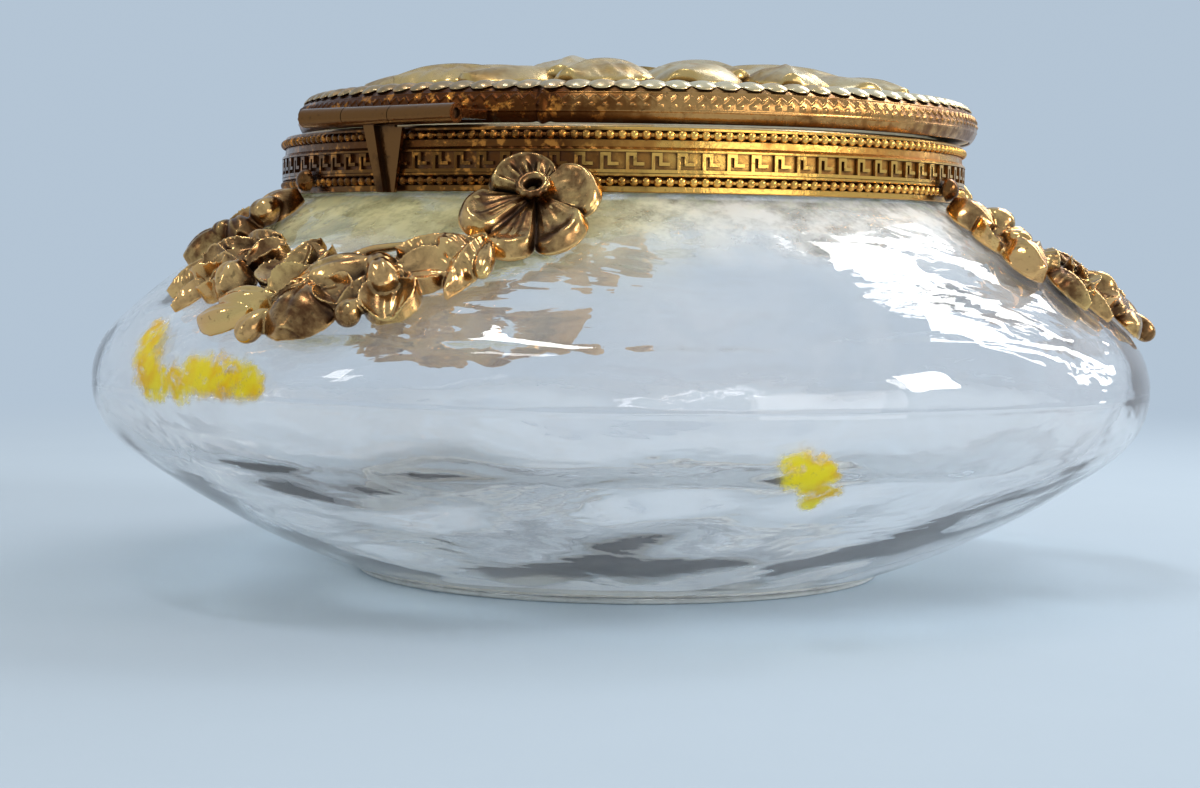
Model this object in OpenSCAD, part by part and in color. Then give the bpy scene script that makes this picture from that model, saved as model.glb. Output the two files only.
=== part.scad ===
// Round glass casket box: a squat blown-glass bowl with a brass collar,
// a hinged brass lid and three flower garlands hung on its shoulder.
// Millimetres, +Z up, origin at the middle of the foot, hinge towards +Y.

/* [Glass bowl] */
// Radius of the bowl at its widest
belly_r = 90; // [86:0.5:96]
// Height of the widest ring above the table
belly_z = 32.7; // [30:0.1:36]
// Radius of the rounded edge at the widest ring
nose_r = 13.6; // [11:0.1:16]
// Radius of the arc from the widest ring up to the neck
shoulder_arc = 142; // [120:1:200]
// Radius of the arc from the widest ring down to the foot
underside_arc = 134; // [115:1:200]
// Height where the shoulder meets the neck
shoulder_z = 63.4; // [61:0.1:66]
// Outer radius of the neck
neck_r = 56.2; // [54:0.1:58]
// Height of the neck above the shoulder
neck_h = 9; // [7:0.1:10]
// Outer radius of the ground foot
foot_r = 45.3; // [42:0.1:49]
// Height of the upright edge of the foot
foot_h = 0.9; // [0.5:0.1:2]
// Width of the flat ring that the foot stands on
foot_ring = 4.2; // [2:0.1:8]
// Depth of the hollow ground into the foot
foot_hollow = 1.2; // [0.4:0.1:2]
// Thickness of the glass
wall = 2.8; // [2:0.1:3.6]
// Thickness of the glass at the bottom
floor_t = 4.4; // [3.4:0.1:6]

/* [Collar] */
// Height of the collar band
collar_h = 9.7; // [9:0.1:11]
// Gap between the shoulder and the collar band, at the neck
collar_gap = 0.1; // [0.05:0.05:0.5]
// Thickness of the cement between neck and collar
cement_t = 0.4; // [0.2:0.05:0.8]
// Thickness of the collar band
band_t = 1.3; // [1.1:0.05:1.8]
// How far the two rails stand out of the band
rail_out = 0.6; // [0.3:0.05:0.8]
// Height of a rail
rail_h = 0.45; // [0.3:0.05:0.7]
// Height of the row of keys
key_h = 3; // [2.4:0.1:3.4]
// Number of keys round the collar
key_count = 96; // [84:1:102]
// Width of a raised line of the key
key_line = 0.5; // [0.35:0.05:0.6]
// How far the keys stand out of the band
key_out = 0.5; // [0.3:0.05:0.6]
// Diameter of a bead
bead_d = 1.44; // [1.2:0.02:1.6]
// Number of beads in a row
bead_count = 204; // [180:1:216]
// Thickness of the wire that the beads are rolled on
bead_wire = 0.6; // [0.4:0.05:0.9]
// Height of the lower row of beads above the collar's bottom edge
bead_low = 1.63; // [1.4:0.01:1.8]
// Depth of the upper row of beads below the collar's top edge
bead_high = 1.2; // [1:0.01:1.4]
// Width of the lip ring from the neck's outside to the mouth
lip_w = 2.6; // [2:0.1:3]
// Thickness of the lip ring on the neck
lip_t = 0.9; // [0.5:0.05:1]
// Height of the lip ring's bead
lip_bead = 0.35; // [0.2:0.05:0.5]

/* [Lid] */
// How far the lid's rim is wider than the collar
rim_over = 0.08; // [0:0.02:0.6]
// How far the lid's middle lies forward of the bowl's
lid_shift = 3.6; // [2.5:0.1:4.5]
// Gap between the collar and the lid's rim
lid_gap = 0.45; // [0.4:0.05:0.9]
// Radius of the rim's rolled section
rim_bulge = 3.9; // [3.5:0.1:4.2]
// Thickness of the rim's sheet
rim_t = 0.7; // [0.5:0.05:1]
// Number of scallops round the bezel
scallops = 92; // [60:1:96]
// Depth of a scallop
scallop_out = 1.6; // [1:0.1:2.4]
// Thickness of the bezel
bezel_t = 0.9; // [0.4:0.05:1]
// Width of the bezel from its outer edge to the hollows of its scallops
bezel_w = 2; // [1.5:0.1:3]
// Rise of the plate from its edge to its middle
plate_rise = 2.6; // [2:0.1:4]
// Thickness of the plate
plate_t = 0.7; // [0.5:0.05:1]
// Plain band between the bezel's tips and the stamped relief
relief_edge = 5.3; // [1:0.1:7]
// Height of the relief's broad leaves
relief_rise = 4.4; // [3:0.1:4.6]
// Thickness of the relief's sheet in its hollows
relief_t = 0.5; // [0.4:0.05:1]
// Thickness of the sheet that closes the lid's underside
backing_t = 0.6; // [0.4:0.05:1]
// Gap between the sheets held in the rim
seat_gap = 0.06; // [0.02:0.01:0.1]

/* [Hinge] */
// Distance of the hinge pin outside the collar
hinge_out = 0.98; // [0.8:0.02:1.6]
// Outer radius of the hinge's knuckles
knuckle_r = 1.5; // [1.3:0.05:1.6]
// Gap between the knuckles and the collar's top edge
knuckle_lift = 0.3; // [0.2:0.05:0.6]
// Radius of the hinge pin
pin_r = 0.75; // [0.6:0.05:0.9]
// Radial clearance of the pin in the lid's knuckles
pin_clear = 0.04; // [0.02:0.01:0.08]
// Gap between two knuckles, end to end
knuckle_gap = 0.15; // [0.1:0.05:0.3]
// Length of the lid's knuckle on the +X side
knuckle_a = 9.5; // [8:0.1:11]
// Length of the collar's knuckle
knuckle_b = 10; // [8:0.1:11]
// Length of the lid's knuckle on the -X side
knuckle_c = 13.1; // [11:0.1:15]
// Distance of the collar's knuckle from the middle, on the -X side
knuckle_off = 3.2; // [2.8:0.1:4]
// Width of the strap at the collar's top edge
strap_w = 7.8; // [7:0.1:9]
// Width of the strap at the collar's bottom edge
strap_tip = 2.8; // [1.5:0.1:3.4]
// Distance of the strap's bottom end from its middle, towards -X
strap_skew = 0.9; // [0:0.1:1.2]
// Thickness of the strap
strap_t = 0.6; // [0.4:0.05:0.8]
// Width of the strap's rib at its head
rib_w = 2.3; // [1.4:0.1:2.6]
// Width of the strap's rib at its foot
rib_foot = 1.4; // [1:0.1:1.8]
// How far the rib stands out of the strap
rib_out = 0.9; // [0.5:0.1:1.2]
// Height of the leaf that joins a knuckle to the lid's rim
leaf_t = 1.3; // [1:0.05:1.6]

/* [Garlands] */
// Gap between a garland and the glass
garland_gap = 0.12; // [0.08:0.02:0.3]
// Distance down the glass from the neck to where the garlands' places are measured
garland_from = 1.2; // [1.2:0.1:2]
// Size of the garlands' leaves and flowers over their drawn size
garland_size = 1; // [0.95:0.01:1.05]
// Thickness of the garland's stem
stem_d = 2.2; // [1.6:0.1:2.8]
// Radius of the big flower
flower_r = 10.8; // [9.8:0.1:11.6]
// Lift of the big flower's edge over its middle
flower_cup = 1.4; // [0.8:0.1:1.6]
// Height above the collar's bottom edge where the big flower leans on it
flower_lean = 4.5; // [3:0.1:6.5]
// Distance of the big flower's hollow rivet from its middle, towards the collar
flower_off = 3.2; // [2:0.1:3.8]
// Thickness of the big flower's petals
flower_t = 1.3; // [1:0.1:1.8]
// Turn of the big flower from the middle of its garland, in degrees
flower_turn = 27.4; // [26:0.1:28.5]
// Outer radius of the hollow rivet
rivet_r = 2.6; // [2:0.1:3]
// Bore radius of the hollow rivet
rivet_bore = 1.4; // [0.8:0.1:1.6]
// Turn of the end stud from the middle of its garland, in degrees
stud_turn = -19.3; // [-22:0.1:-18]
// Diameter of the end stud
stud_d = 3.8; // [3:0.1:4.2]

/* [Hidden] */
$fn = 96;

brass = "#b08a3e";
dark_brass = "#7a5227";
pale_brass = "#c9b98a";

// Directions of the three garlands, measured anticlockwise from +X
back_turn = 90;
left_turn = 330;
right_turn = 210;

// Where two circles cross: side is 1 or -1
function circles_meet(a, ra, b, rb, side) =
    let (d = norm(b - a), k = (ra * ra - rb * rb + d * d) / (2 * d),
         h = sqrt(ra * ra - k * k), u = (b - a) / d)
    a + u * k + side * h * [-u.y, u.x];

function arc(c, r, from, to, steps) =
    [for (i = [0:steps]) let (t = from + (to - from) * i / steps) c + r * [cos(t), sin(t)]];

function slope_of(c, p) = atan2(p.y - c.y, p.x - c.x);

// The bowl's outline is three arcs, tangent to each other
nose_c = [belly_r - nose_r, belly_z];
neck_p = [neck_r, shoulder_z];
foot_p = [foot_r, foot_h];
shoulder_c = circles_meet(nose_c, shoulder_arc - nose_r, neck_p, shoulder_arc, 1);
under_c = circles_meet(nose_c, underside_arc - nose_r, foot_p, underside_arc, -1);
neck_t = slope_of(shoulder_c, neck_p);
nose_top_t = slope_of(shoulder_c, nose_c);
nose_low_t = slope_of(under_c, nose_c);
foot_t = slope_of(under_c, foot_p);
neck_top = shoulder_z + neck_h;
neck_in = neck_r - wall * 0.78;
foot_crown = 34;

// Angle at which an arc reaches a height, or a distance from the axis
function arc_turn_at_z(c, r, z) = asin((z - c.y) / r);
function arc_turn_at_r(c, r, x) = acos((x - c.x) / r);

// Point on the outside of the shoulder, a distance down it from the neck, lifted off the glass
shoulder_len = shoulder_arc * (neck_t - nose_top_t) * PI / 180;
function down_turn(s) = s < shoulder_len
    ? neck_t - s / shoulder_arc * 180 / PI
    : nose_top_t - (s - shoulder_len) / nose_r * 180 / PI;
function down_point(s, lift) = let (t = down_turn(s))
    s < shoulder_len ? shoulder_c + (shoulder_arc + lift) * [cos(t), sin(t)]
                     : nose_c + (nose_r + lift) * [cos(t), sin(t)];

// The garlands are drawn on a shoulder of this length and mean radius, and grow with it
drawn_len = 36.2;
drawn_r = 73.1;
down_scale = shoulder_len / drawn_len;
round_scale = (neck_r + belly_r) / 2 / drawn_r;
leaf_scale = garland_size * [down_scale, round_scale, (down_scale + round_scale) / 2];

// Collar
collar_z = shoulder_z + collar_gap;
collar_top = collar_z + collar_h;
band_in = neck_r + cement_t;
band_r = band_in + band_t;
bead_ring = band_r + 0.1;
bead_r = bead_d / 2;
bead_seat = 0.02;
low_bead_z = collar_z + bead_low;
high_bead_z = collar_top - bead_high;
low_rail_z = low_bead_z + bead_r + 0.05;
key_z = low_rail_z + rail_h + 0.05;
high_rail_z = key_z + key_h + 0.05;
key_r = band_r + 0.03;
key_pitch = 2 * PI * (key_r + key_out / 2) / key_count;
collar_out = bead_ring + bead_r;
rim_r = collar_out + rim_over;

// Lid
rim_z = collar_top + lid_gap;
rim_low_t = -42;
rim_high_t = 68;
rim_c = [rim_r - rim_bulge, rim_z - rim_bulge * sin(rim_low_t)];
rim_top = rim_c.y + rim_bulge * sin(rim_high_t);
rim_top_r = rim_c.x + rim_bulge * cos(rim_high_t);
bezel_z = rim_top + seat_gap;
relief_r = rim_top_r - bezel_w - scallop_out - relief_edge;
plate_z = rim_top - plate_t;
plate_r = rim_top_r - rim_t - 0.25;
plate_flat = 2.2;
dome_r = plate_r - plate_flat;
dome_ball = (dome_r * dome_r + plate_rise * plate_rise) / (2 * plate_rise);
backing_z = rim_z + rim_t * 0.9;
backing_r = rim_c.x + sqrt(pow(rim_bulge - rim_t, 2) - pow(rim_c.y - backing_z, 2)) - 0.05;

// Hinge
hinge_y = collar_out + hinge_out;
hinge_z = collar_top + knuckle_lift + knuckle_r;
knuckle_b_x = -knuckle_off;
knuckle_a_x = knuckle_b_x + knuckle_b;
knuckle_c_x = knuckle_b_x - knuckle_c;
strap_y = collar_out + 0.03;
strap_x = -0.8;

// The big flower leans from a point on the collar to a point on the glass
flower_reach = 1.9 * flower_r;
lean_p = [collar_out + 0.12, collar_z + flower_lean];
function rest_down(low, high, steps) = let (mid = (low + high) / 2)
    steps == 0 ? mid
    : norm(down_point(mid, garland_gap) - lean_p) < flower_reach ? rest_down(mid, high, steps - 1)
    : rest_down(low, mid, steps - 1);
rest_p = down_point(rest_down(0, shoulder_len, 20), garland_gap);
flower_p = (lean_p + rest_p) / 2;
flower_up = 90 - slope_of(rest_p, lean_p) + 90;
flower_start = -12;

// ---------- leaves, petals and buds ----------

// Half width of a leaf or petal at u along it: full moves the widest place towards the tip
function leaf_width(u, full, point) = pow(sin(180 * pow(0.04 + 0.92 * u, full)), point);

// Height of its upper face: crown on the middle line, rim on the edges
function leaf_height(u, v, rim, crown) =
    (rim + (crown - rim) * (1 - v * v)) * (0.45 + 0.55 * sin(20 + 140 * u));

// Leaf or petal with a flat underside, its middle at the origin and its tip along +X
module leaf(long, wide, high, rim, crown, full, point, steps = 4, cross = 4) {
    top = [for (i = [0:steps]) for (j = [0:cross])
        let (u = i / steps, v = 2 * j / cross - 1)
        [long * (u - 0.5), wide / 2 * v * leaf_width(u, full, point),
         high * leaf_height(u, v, rim, crown)]];
    under = [for (i = [0:steps]) for (side = [-1, 1])
        let (u = i / steps) [long * (u - 0.5), wide / 2 * side * leaf_width(u, full, point), 0]];
    n = cross + 1;
    base = n * (steps + 1);
    far = steps * n;
    far_base = base + 2 * steps;
    faces = concat(
        [for (i = [0:steps - 1]) for (j = [0:cross - 1]) let (a = i * n + j)
            for (f = [[a, a + 1, a + n], [a + 1, a + n + 1, a + n]]) f],
        [for (i = [0:steps - 1]) let (b = base + 2 * i)
            for (f = [[b, b + 2, b + 1], [b + 1, b + 2, b + 3]]) f],
        [for (i = [0:steps - 1]) let (t = i * n, b = base + 2 * i)
            for (f = [[t, t + n, b], [b, t + n, b + 2]]) f],
        [for (i = [0:steps - 1]) let (t = i * n + cross, b = base + 2 * i + 1)
            for (f = [[t, b, t + n], [b, b + 2, t + n]]) f],
        [for (j = [0:cross - 1]) [base, j + 1, j]],
        [[base, base + 1, cross]],
        [for (j = [0:cross - 1]) [far_base, far + j, far + j + 1]],
        [[far_base, far + cross, far_base + 1]]);
    polyhedron(points = concat(top, under), faces = faces, convexity = 4);
}

// Smooth round petal with a full tip
module petal(long, wide, high) leaf(long, wide, high, 0.35, 1, 1.3, 0.55);

// Hollow petal with a raised edge
module cup(long, wide, high) leaf(long, wide, high, 1, 0.45, 1.3, 0.55);

// Pointed leaf with a ridge
module blade(long, wide, high) leaf(long, wide, high, 0.25, 1, 0.85, 1, 4, 2);

// Egg-shaped bud
module bud(long, wide) hull() {
    translate([-long / 2 + wide * 0.3, 0, wide * 0.28]) sphere(d = wide * 0.56, $fn = 6);
    translate([long / 2 - wide * 0.5, 0, wide * 0.5]) sphere(d = wide, $fn = 10);
}

// Puts a shape on the glass: turn round the axis, distance down the shoulder,
// heading from straight down (0) towards increasing turn (90), and lift
module on_glass(turn, down, heading, lift = 0) {
    s = down * down_scale + garland_from;
    p = down_point(s, garland_gap + lift);
    rotate([0, 0, turn]) translate([p.x, 0, p.y])
        rotate([0, 90 - down_turn(s), 0]) scale(leaf_scale) rotate([0, 0, heading]) children();
}

// The garland's stem: places [turn, distance down], from the stud to the flower
stem_path = [[-19.6, 4], [-20, 9], [-19, 15], [-15, 22], [-9, 27.5], [-2, 30.5], [5, 30.5],
    [11, 27.5], [16, 22], [20, 17.5], [23, 14.6]];

module stem_ball(p) on_glass(p[0], p[1], 0, (stem_d / 2 + 0.35) * leaf_scale.z) sphere(d = stem_d, $fn = 6);

module garland_shape() {
    for (i = [0:len(stem_path) - 2]) hull() {
        stem_ball(stem_path[i]);
        stem_ball(stem_path[i + 1]);
    }
    // Left limb, from the stud down
    on_glass(-20.5, 6.6, -10) petal(8.5, 8, 3.6);
    on_glass(-17.6, 9.6, 20) bud(6, 4.8);
    on_glass(-22.2, 12.2, -35) cup(8.5, 7, 3);
    on_glass(-11.5, 15.6, 98) blade(9, 4.2, 2.4);
    on_glass(-22.6, 18.6, -20) petal(9, 6.8, 4);
    on_glass(-17.4, 25.4, -22) blade(10, 4.8, 2.6);
    on_glass(-13.8, 28.6, -14) blade(9, 4.6, 2.4);
    // Small flower with ribbed petals
    on_glass(-10.6, 20.6, 205) cup(7, 6, 2.6);
    on_glass(-6.6, 20, 150) cup(7, 5.6, 2.6);
    on_glass(-9.6, 26.4, -62) cup(7.5, 7.5, 3.6);
    // Fan flower in the middle
    on_glass(0.2, 24.2, 222) cup(10, 8.4, 2.8);
    on_glass(2.6, 22.8, 180) cup(9.5, 6.4, 3);
    on_glass(7.2, 24.6, 118) petal(11.5, 8, 3.6);
    // Big smooth lobes along the bottom
    on_glass(-1.6, 30.9, -82) petal(11, 6.2, 3.8);
    on_glass(-3.4, 34.2, -75) petal(10, 5.6, 3.2);
    on_glass(6.2, 32.6, 8) petal(10, 12.4, 4.4);
    on_glass(2.4, 36.3, -20) bud(6.4, 4.4);
    // Flower on the right, with a leaf and a bud
    on_glass(11.6, 28.6, -20) blade(9, 6, 3);
    on_glass(12.6, 33.2, 0) bud(5, 4.4);
    on_glass(15.8, 29, 15) cup(9.5, 8.6, 3.6);
    on_glass(17.4, 23.6, 100) cup(9, 7, 3);
    on_glass(12, 22.4, -150) petal(6, 5, 2.8);
    // Long leaves beside the big flower
    on_glass(17.6, 17.4, 101) blade(12.5, 4.8, 3);
    on_glass(22, 22, -8) blade(13, 4.8, 3);
    on_glass(24.2, 20.6, 6) bud(9, 3);
    // Tendril above the stem
    hull() {
        stem_ball([7, 21]);
        stem_ball([9, 18.2]);
    }
    hull() {
        stem_ball([9, 18.2]);
        stem_ball([13.6, 16.8]);
    }
}

// The big flower lies over the garland's end, so the garland is cut back clear of it
module garland(turn) color(brass) rotate([0, 0, turn]) difference() {
    garland_shape();
    on_flower(0) translate([0, 0, -flower_cup - 0.1]) cylinder(r = flower_r + 0.3, h = 12, $fn = 48);
}

// Edge of the five-petalled flower, the lift of its back and the thickness of its petals
flower_spokes = 40;
flower_rings = 4;
function petal_near(t) = abs(cos(2.5 * (t - flower_start)));
function flower_edge(t) = flower_r * (0.64 + 0.36 * pow(petal_near(t), 0.5));
function flower_back(p) = flower_cup * (pow(norm(p) / flower_r, 2) - 1) + 0.3;
function flower_puff(k, t) = flower_t * (0.8 + sin(150 * k) * (0.3 + 0.9 * petal_near(t)));

// Flower as a closed shell: rings of points over a slightly cupped back
module flower_shape() {
    rings = flower_rings;
    spokes = flower_spokes;
    function spot(k, i) = let (t = 360 * i / spokes, r = flower_edge(t) * k)
        [r * cos(t) - flower_off * (1 - k), r * sin(t)];
    top = [for (j = [1:rings]) for (i = [0:spokes - 1])
        let (k = j / rings, p = spot(k, i))
        [p.x, p.y, flower_back(p) + flower_puff(k, 360 * i / spokes)]];
    under = [for (j = [1:2]) for (i = [0:spokes - 1])
        let (p = spot(j / 2, i)) [p.x, p.y, flower_back(p)]];
    top_mid = len(top) + len(under);
    low = len(top);
    function turn_on(i) = (i + 1) % spokes;
    faces = concat(
        [for (i = [0:spokes - 1]) [top_mid, turn_on(i), i]],
        [for (j = [0:rings - 2]) for (i = [0:spokes - 1])
            let (a = j * spokes + i, b = j * spokes + turn_on(i), c = a + spokes, d = b + spokes)
            for (f = [[a, b, c], [b, d, c]]) f],
        [for (i = [0:spokes - 1])
            let (a = (rings - 1) * spokes + i, b = (rings - 1) * spokes + turn_on(i),
                 c = low + spokes + i, d = low + spokes + turn_on(i))
            for (f = [[a, b, c], [b, d, c]]) f],
        [for (i = [0:spokes - 1])
            let (a = low + spokes + i, b = low + spokes + turn_on(i), c = low + i, d = low + turn_on(i))
            for (f = [[a, b, c], [b, d, c]]) f],
        [for (i = [0:spokes - 1]) [low + i, low + turn_on(i), top_mid + 1]]);
    polyhedron(points = concat(top, under, [[-flower_off, 0, flower_back([flower_off, 0]) + flower_t * 0.75],
        [-flower_off, 0, flower_back([flower_off, 0])]]), faces = faces, convexity = 6);
}

// Puts a shape in the big flower's place, leaning between collar and glass
module on_flower(turn) rotate([0, 0, turn + flower_turn]) translate([flower_p.x, 0, flower_p.y])
    rotate([0, flower_up, 0]) children();

module flower(turn) color(pale_brass) on_flower(turn) difference() {
    flower_shape();
    translate([-flower_off, 0, -flower_cup - 1]) cylinder(r = rivet_r - 0.8, h = 2 * flower_t + 4);
}

// Hollow rivet through the flower's middle
module rivet(turn) color(brass) on_flower(turn) translate([-flower_off, 0, flower_back([flower_off, 0])])
    rotate_extrude()
    polygon([[rivet_bore, 0], [rivet_r - 0.85, 0], [rivet_r - 0.85, flower_t + 1.1],
        [rivet_r, flower_t + 1.4], [rivet_r, flower_t + 1.9], [rivet_r - 0.5, flower_t + 2.4],
        [rivet_bore + 0.2, flower_t + 2.2], [rivet_bore, flower_t + 1.6]]);

// Round stud that pins the garland's end to the collar
module stud(turn) color(dark_brass) rotate([0, 0, turn + stud_turn])
    translate([collar_out + 0.03, 0, collar_z + 1.9]) rotate([0, 90, 0]) rotate_extrude()
    polygon(concat([[0, 0], [stud_d * 0.3, 0], [stud_d * 0.3, 0.5]],
        arc([0, 0.5], stud_d / 2, 0, 90, 8)));

// ---------- bowl and collar ----------

module glass_bowl() color("#c9d6dc", 0.45) {
    outside = concat(arc(under_c, underside_arc, foot_t, nose_low_t, 20),
        arc(nose_c, nose_r, nose_low_t, nose_top_t, 24),
        arc(shoulder_c, shoulder_arc, nose_top_t, neck_t, 20));
    under_in = underside_arc - wall;
    shoulder_in = shoulder_arc - wall;
    inside = concat(
        arc(shoulder_c, shoulder_in, arc_turn_at_r(shoulder_c, shoulder_in, neck_in), nose_top_t, 20),
        arc(nose_c, nose_r - wall, nose_top_t, nose_low_t, 24),
        arc(under_c, under_in, nose_low_t, arc_turn_at_z(under_c, under_in, floor_t), 20));
    foot_in = foot_r - foot_ring;
    rotate_extrude() polygon(concat([[0, foot_hollow], [foot_crown, foot_hollow], [foot_in, 0],
        [foot_r - 0.25, 0], [foot_r, 0.25]], outside,
        [[neck_r, neck_top - 0.4], [neck_r - 0.4, neck_top], [neck_in, neck_top]], inside,
        [[0, floor_t]]));
}

module neck_cement() color("#b9b29a") rotate_extrude() translate([neck_r, collar_z])
    square([cement_t, neck_h - collar_gap - 0.6]);

module band_section() polygon([[band_in, collar_z], [band_r - 0.15, collar_z],
    [band_r, collar_z + 0.15], [band_r, low_rail_z], [band_r + rail_out - 0.1, low_rail_z],
    [band_r + rail_out, low_rail_z + 0.1], [band_r + rail_out, low_rail_z + rail_h - 0.05],
    [band_r, low_rail_z + rail_h], [band_r, high_rail_z], [band_r + rail_out, high_rail_z + 0.05],
    [band_r + rail_out, high_rail_z + rail_h - 0.1], [band_r + rail_out - 0.15, high_rail_z + rail_h],
    [band_r + 0.1, high_rail_z + rail_h + 0.35], [band_r, high_bead_z - bead_r - 0.05],
    [band_r, collar_top - 0.15], [band_r - 0.15, collar_top], [band_in, collar_top]]);

module collar_band() color(dark_brass) rotate_extrude() difference() {
    band_section();
    translate([bead_ring, low_bead_z]) circle(r = bead_r + bead_seat);
    translate([bead_ring, high_bead_z]) circle(r = bead_r + bead_seat);
}

// Beaded wire: balls joined by short lengths of wire
module beading(z) {
    chord = 2 * bead_ring * sin(180 / bead_count);
    for (i = [0:bead_count - 1]) rotate([0, 0, 360 * i / bead_count]) translate([bead_ring, 0, z]) {
        sphere(r = bead_r, $fn = 20);
        rotate([0, 0, 180 / bead_count]) rotate([-90, 0, 0]) cylinder(d = bead_wire, h = chord, $fn = 14);
    }
}

module lower_beading() color(brass) beading(low_bead_z);

module upper_beading() color(brass) beading(high_bead_z);

// One key of the running fret, with the length of line that leads to the next
module key() {
    hook = key_pitch * 0.29;
    rotate([90, 0, 90]) linear_extrude(key_out) polygon([[0, 0], [key_pitch + 0.12, 0],
        [key_pitch + 0.12, key_line], [key_line, key_line], [key_line, key_h - key_line],
        [hook, key_h - key_line], [hook, key_h * 0.36], [key_pitch * 0.72, key_h * 0.36],
        [key_pitch * 0.72, key_h * 0.36 + key_line], [hook + key_line, key_h * 0.36 + key_line],
        [hook + key_line, key_h], [0, key_h]]);
}

module meander_strip() color(brass) for (i = [0:key_count - 1]) rotate([0, 0, 360 * i / key_count])
    translate([key_r, -key_pitch / 2, key_z]) key();

module lip_ring() color(pale_brass) {
    lip_r = neck_r - lip_w;
    bead = [lip_r + lip_bead + 1.85, neck_top + lip_t];
    rotate_extrude() polygon(concat([[lip_r, neck_top + 0.03], [neck_r - 0.1, neck_top + 0.03],
        [neck_r - 0.1, bead.y]], arc(bead, lip_bead, 0, 180, 8), [[lip_r, bead.y]]));
}

// ---------- hinge ----------

module knuckle(from, long, bore) translate([from, hinge_y, hinge_z]) rotate([0, 90, 0])
    difference() {
        cylinder(r = knuckle_r, h = long);
        translate([0, 0, -1]) cylinder(r = bore, h = long + 2);
    }

module hinge_strap() color(dark_brass) {
    low = collar_z - 0.2;
    rib_x = strap_x + strap_w / 2 - rib_w / 2;
    foot_x = strap_x - strap_skew;
    difference() {
        union() {
            knuckle(knuckle_b_x + knuckle_gap / 2, knuckle_b - knuckle_gap, pin_r);
            translate([0, strap_y + strap_t, 0]) rotate([90, 0, 0]) linear_extrude(strap_t)
                polygon([[foot_x - strap_tip / 2, low], [foot_x + strap_tip / 2, low],
                    [strap_x + strap_w / 2, collar_top], [strap_x + strap_w / 2, hinge_z],
                    [knuckle_b_x + knuckle_gap / 2, hinge_z], [knuckle_b_x + knuckle_gap / 2, collar_top],
                    [strap_x - strap_w / 2, collar_top]]);
            translate([0, strap_y + strap_t + rib_out, 0]) rotate([90, 0, 0])
                linear_extrude(rib_out + 0.1)
                polygon([[foot_x + strap_tip / 2 - rib_foot, low], [foot_x + strap_tip / 2, low],
                    [rib_x + rib_w / 2, hinge_z - 0.4], [rib_x - rib_w / 2, hinge_z - 0.4]]);
        }
        translate([knuckle_b_x - 1, hinge_y, hinge_z]) rotate([0, 90, 0])
            cylinder(r = pin_r, h = knuckle_b + 2);
    }
}

module hinge_pin() color("#8d8468") translate([knuckle_c_x + 0.5, hinge_y, hinge_z])
    rotate([0, 90, 0]) cylinder(r = pin_r, h = knuckle_a + knuckle_b + knuckle_c - 0.8);

// Flat leaf from the knuckles to the lid's rim
module leaf_block(from, long) translate([from, 0, hinge_z - leaf_t / 2]) difference() {
    translate([0, hinge_y - 9, 0]) cube([long, 9, leaf_t]);
    translate([-from, -lid_shift, -1]) cylinder(r = rim_r + 0.02, h = leaf_t + 2, $fn = 180);
}

module leaf_half(from, long) difference() {
    union() {
        knuckle(from, long, pin_r + pin_clear);
        leaf_block(from, long);
    }
    translate([from - 1, hinge_y, hinge_z]) rotate([0, 90, 0])
        cylinder(r = pin_r + pin_clear, h = long + 2);
}

module lid_hinge_leaf() color(dark_brass) {
    leaf_half(knuckle_a_x + knuckle_gap / 2, knuckle_a - knuckle_gap / 2);
    leaf_half(knuckle_c_x, knuckle_c - knuckle_gap / 2);
}

// ---------- lid ----------

module on_lid() translate([0, -lid_shift, 0]) children();

module lid_rim() color(dark_brass) on_lid() rotate_extrude()
    polygon(concat(arc(rim_c, rim_bulge, rim_low_t, rim_high_t, 16),
        arc(rim_c, rim_bulge - rim_t, rim_high_t, rim_low_t, 16)));

module lid_bezel() color(brass) on_lid() translate([0, 0, bezel_z]) linear_extrude(bezel_t)
    difference() {
        circle(r = rim_top_r + 0.1, $fn = 180);
        polygon([for (i = [0:scallops * 6 - 1]) let (t = 360 * i / (scallops * 6))
            (rim_top_r - bezel_w - scallop_out * abs(sin(t * scallops / 2))) * [cos(t), sin(t)]]);
    }

function dome_z(r) = plate_z + plate_rise - dome_ball + sqrt(dome_ball * dome_ball - r * r);

module lid_plate() color(pale_brass) on_lid() rotate_extrude()
    polygon(concat([for (i = [0:12]) let (r = dome_r * i / 12) [r, dome_z(r)]],
        [[plate_r, plate_z], [plate_r, plate_z + plate_t]],
        [for (i = [12:-1:0]) let (r = dome_r * i / 12) [r, dome_z(r) + plate_t]]));

module lid_backing() color(brass) on_lid() translate([0, 0, backing_z])
    cylinder(r = backing_r, h = backing_t, $fn = 180);

// Height of the stamped relief over the dome, in three parts: a five-petalled flower in the
// middle, eight broad leaves round it and sixteen small leaves at the edge
function lobe(t, count) = abs(cos(count / 2 * t));
function hump(r, from, to) = r <= from || r >= to ? 0 : sin(180 * (r - from) / (to - from));
function flower_high(r, t) = let (n = lobe(t - 20, 5), edge = relief_r * (0.27 + 0.13 * n))
    r > edge ? 0 : 0.84 * relief_rise * (0.5 + 0.5 * pow(r / edge, 2)) * (0.4 + 0.6 * n);
function leaf_high(r, t) = let (turned = t - 28 * r / relief_r)
    relief_rise * pow(lobe(turned, 8), 0.7) * pow(hump(r, 0.26 * relief_r, 0.81 * relief_r), 0.7);
function edge_high(r, t) = let (turned = t + 43 * r / relief_r)
    0.75 * relief_rise * pow(lobe(turned, 16), 0.7) * pow(hump(r, 0.66 * relief_r, 1.02 * relief_r), 0.6);
function relief_high(r, t) = relief_t + max(flower_high(r, t), leaf_high(r, t), edge_high(r, t));

relief_spokes = 80;
relief_rings = 14;
relief_lift = 0.1;

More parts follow.
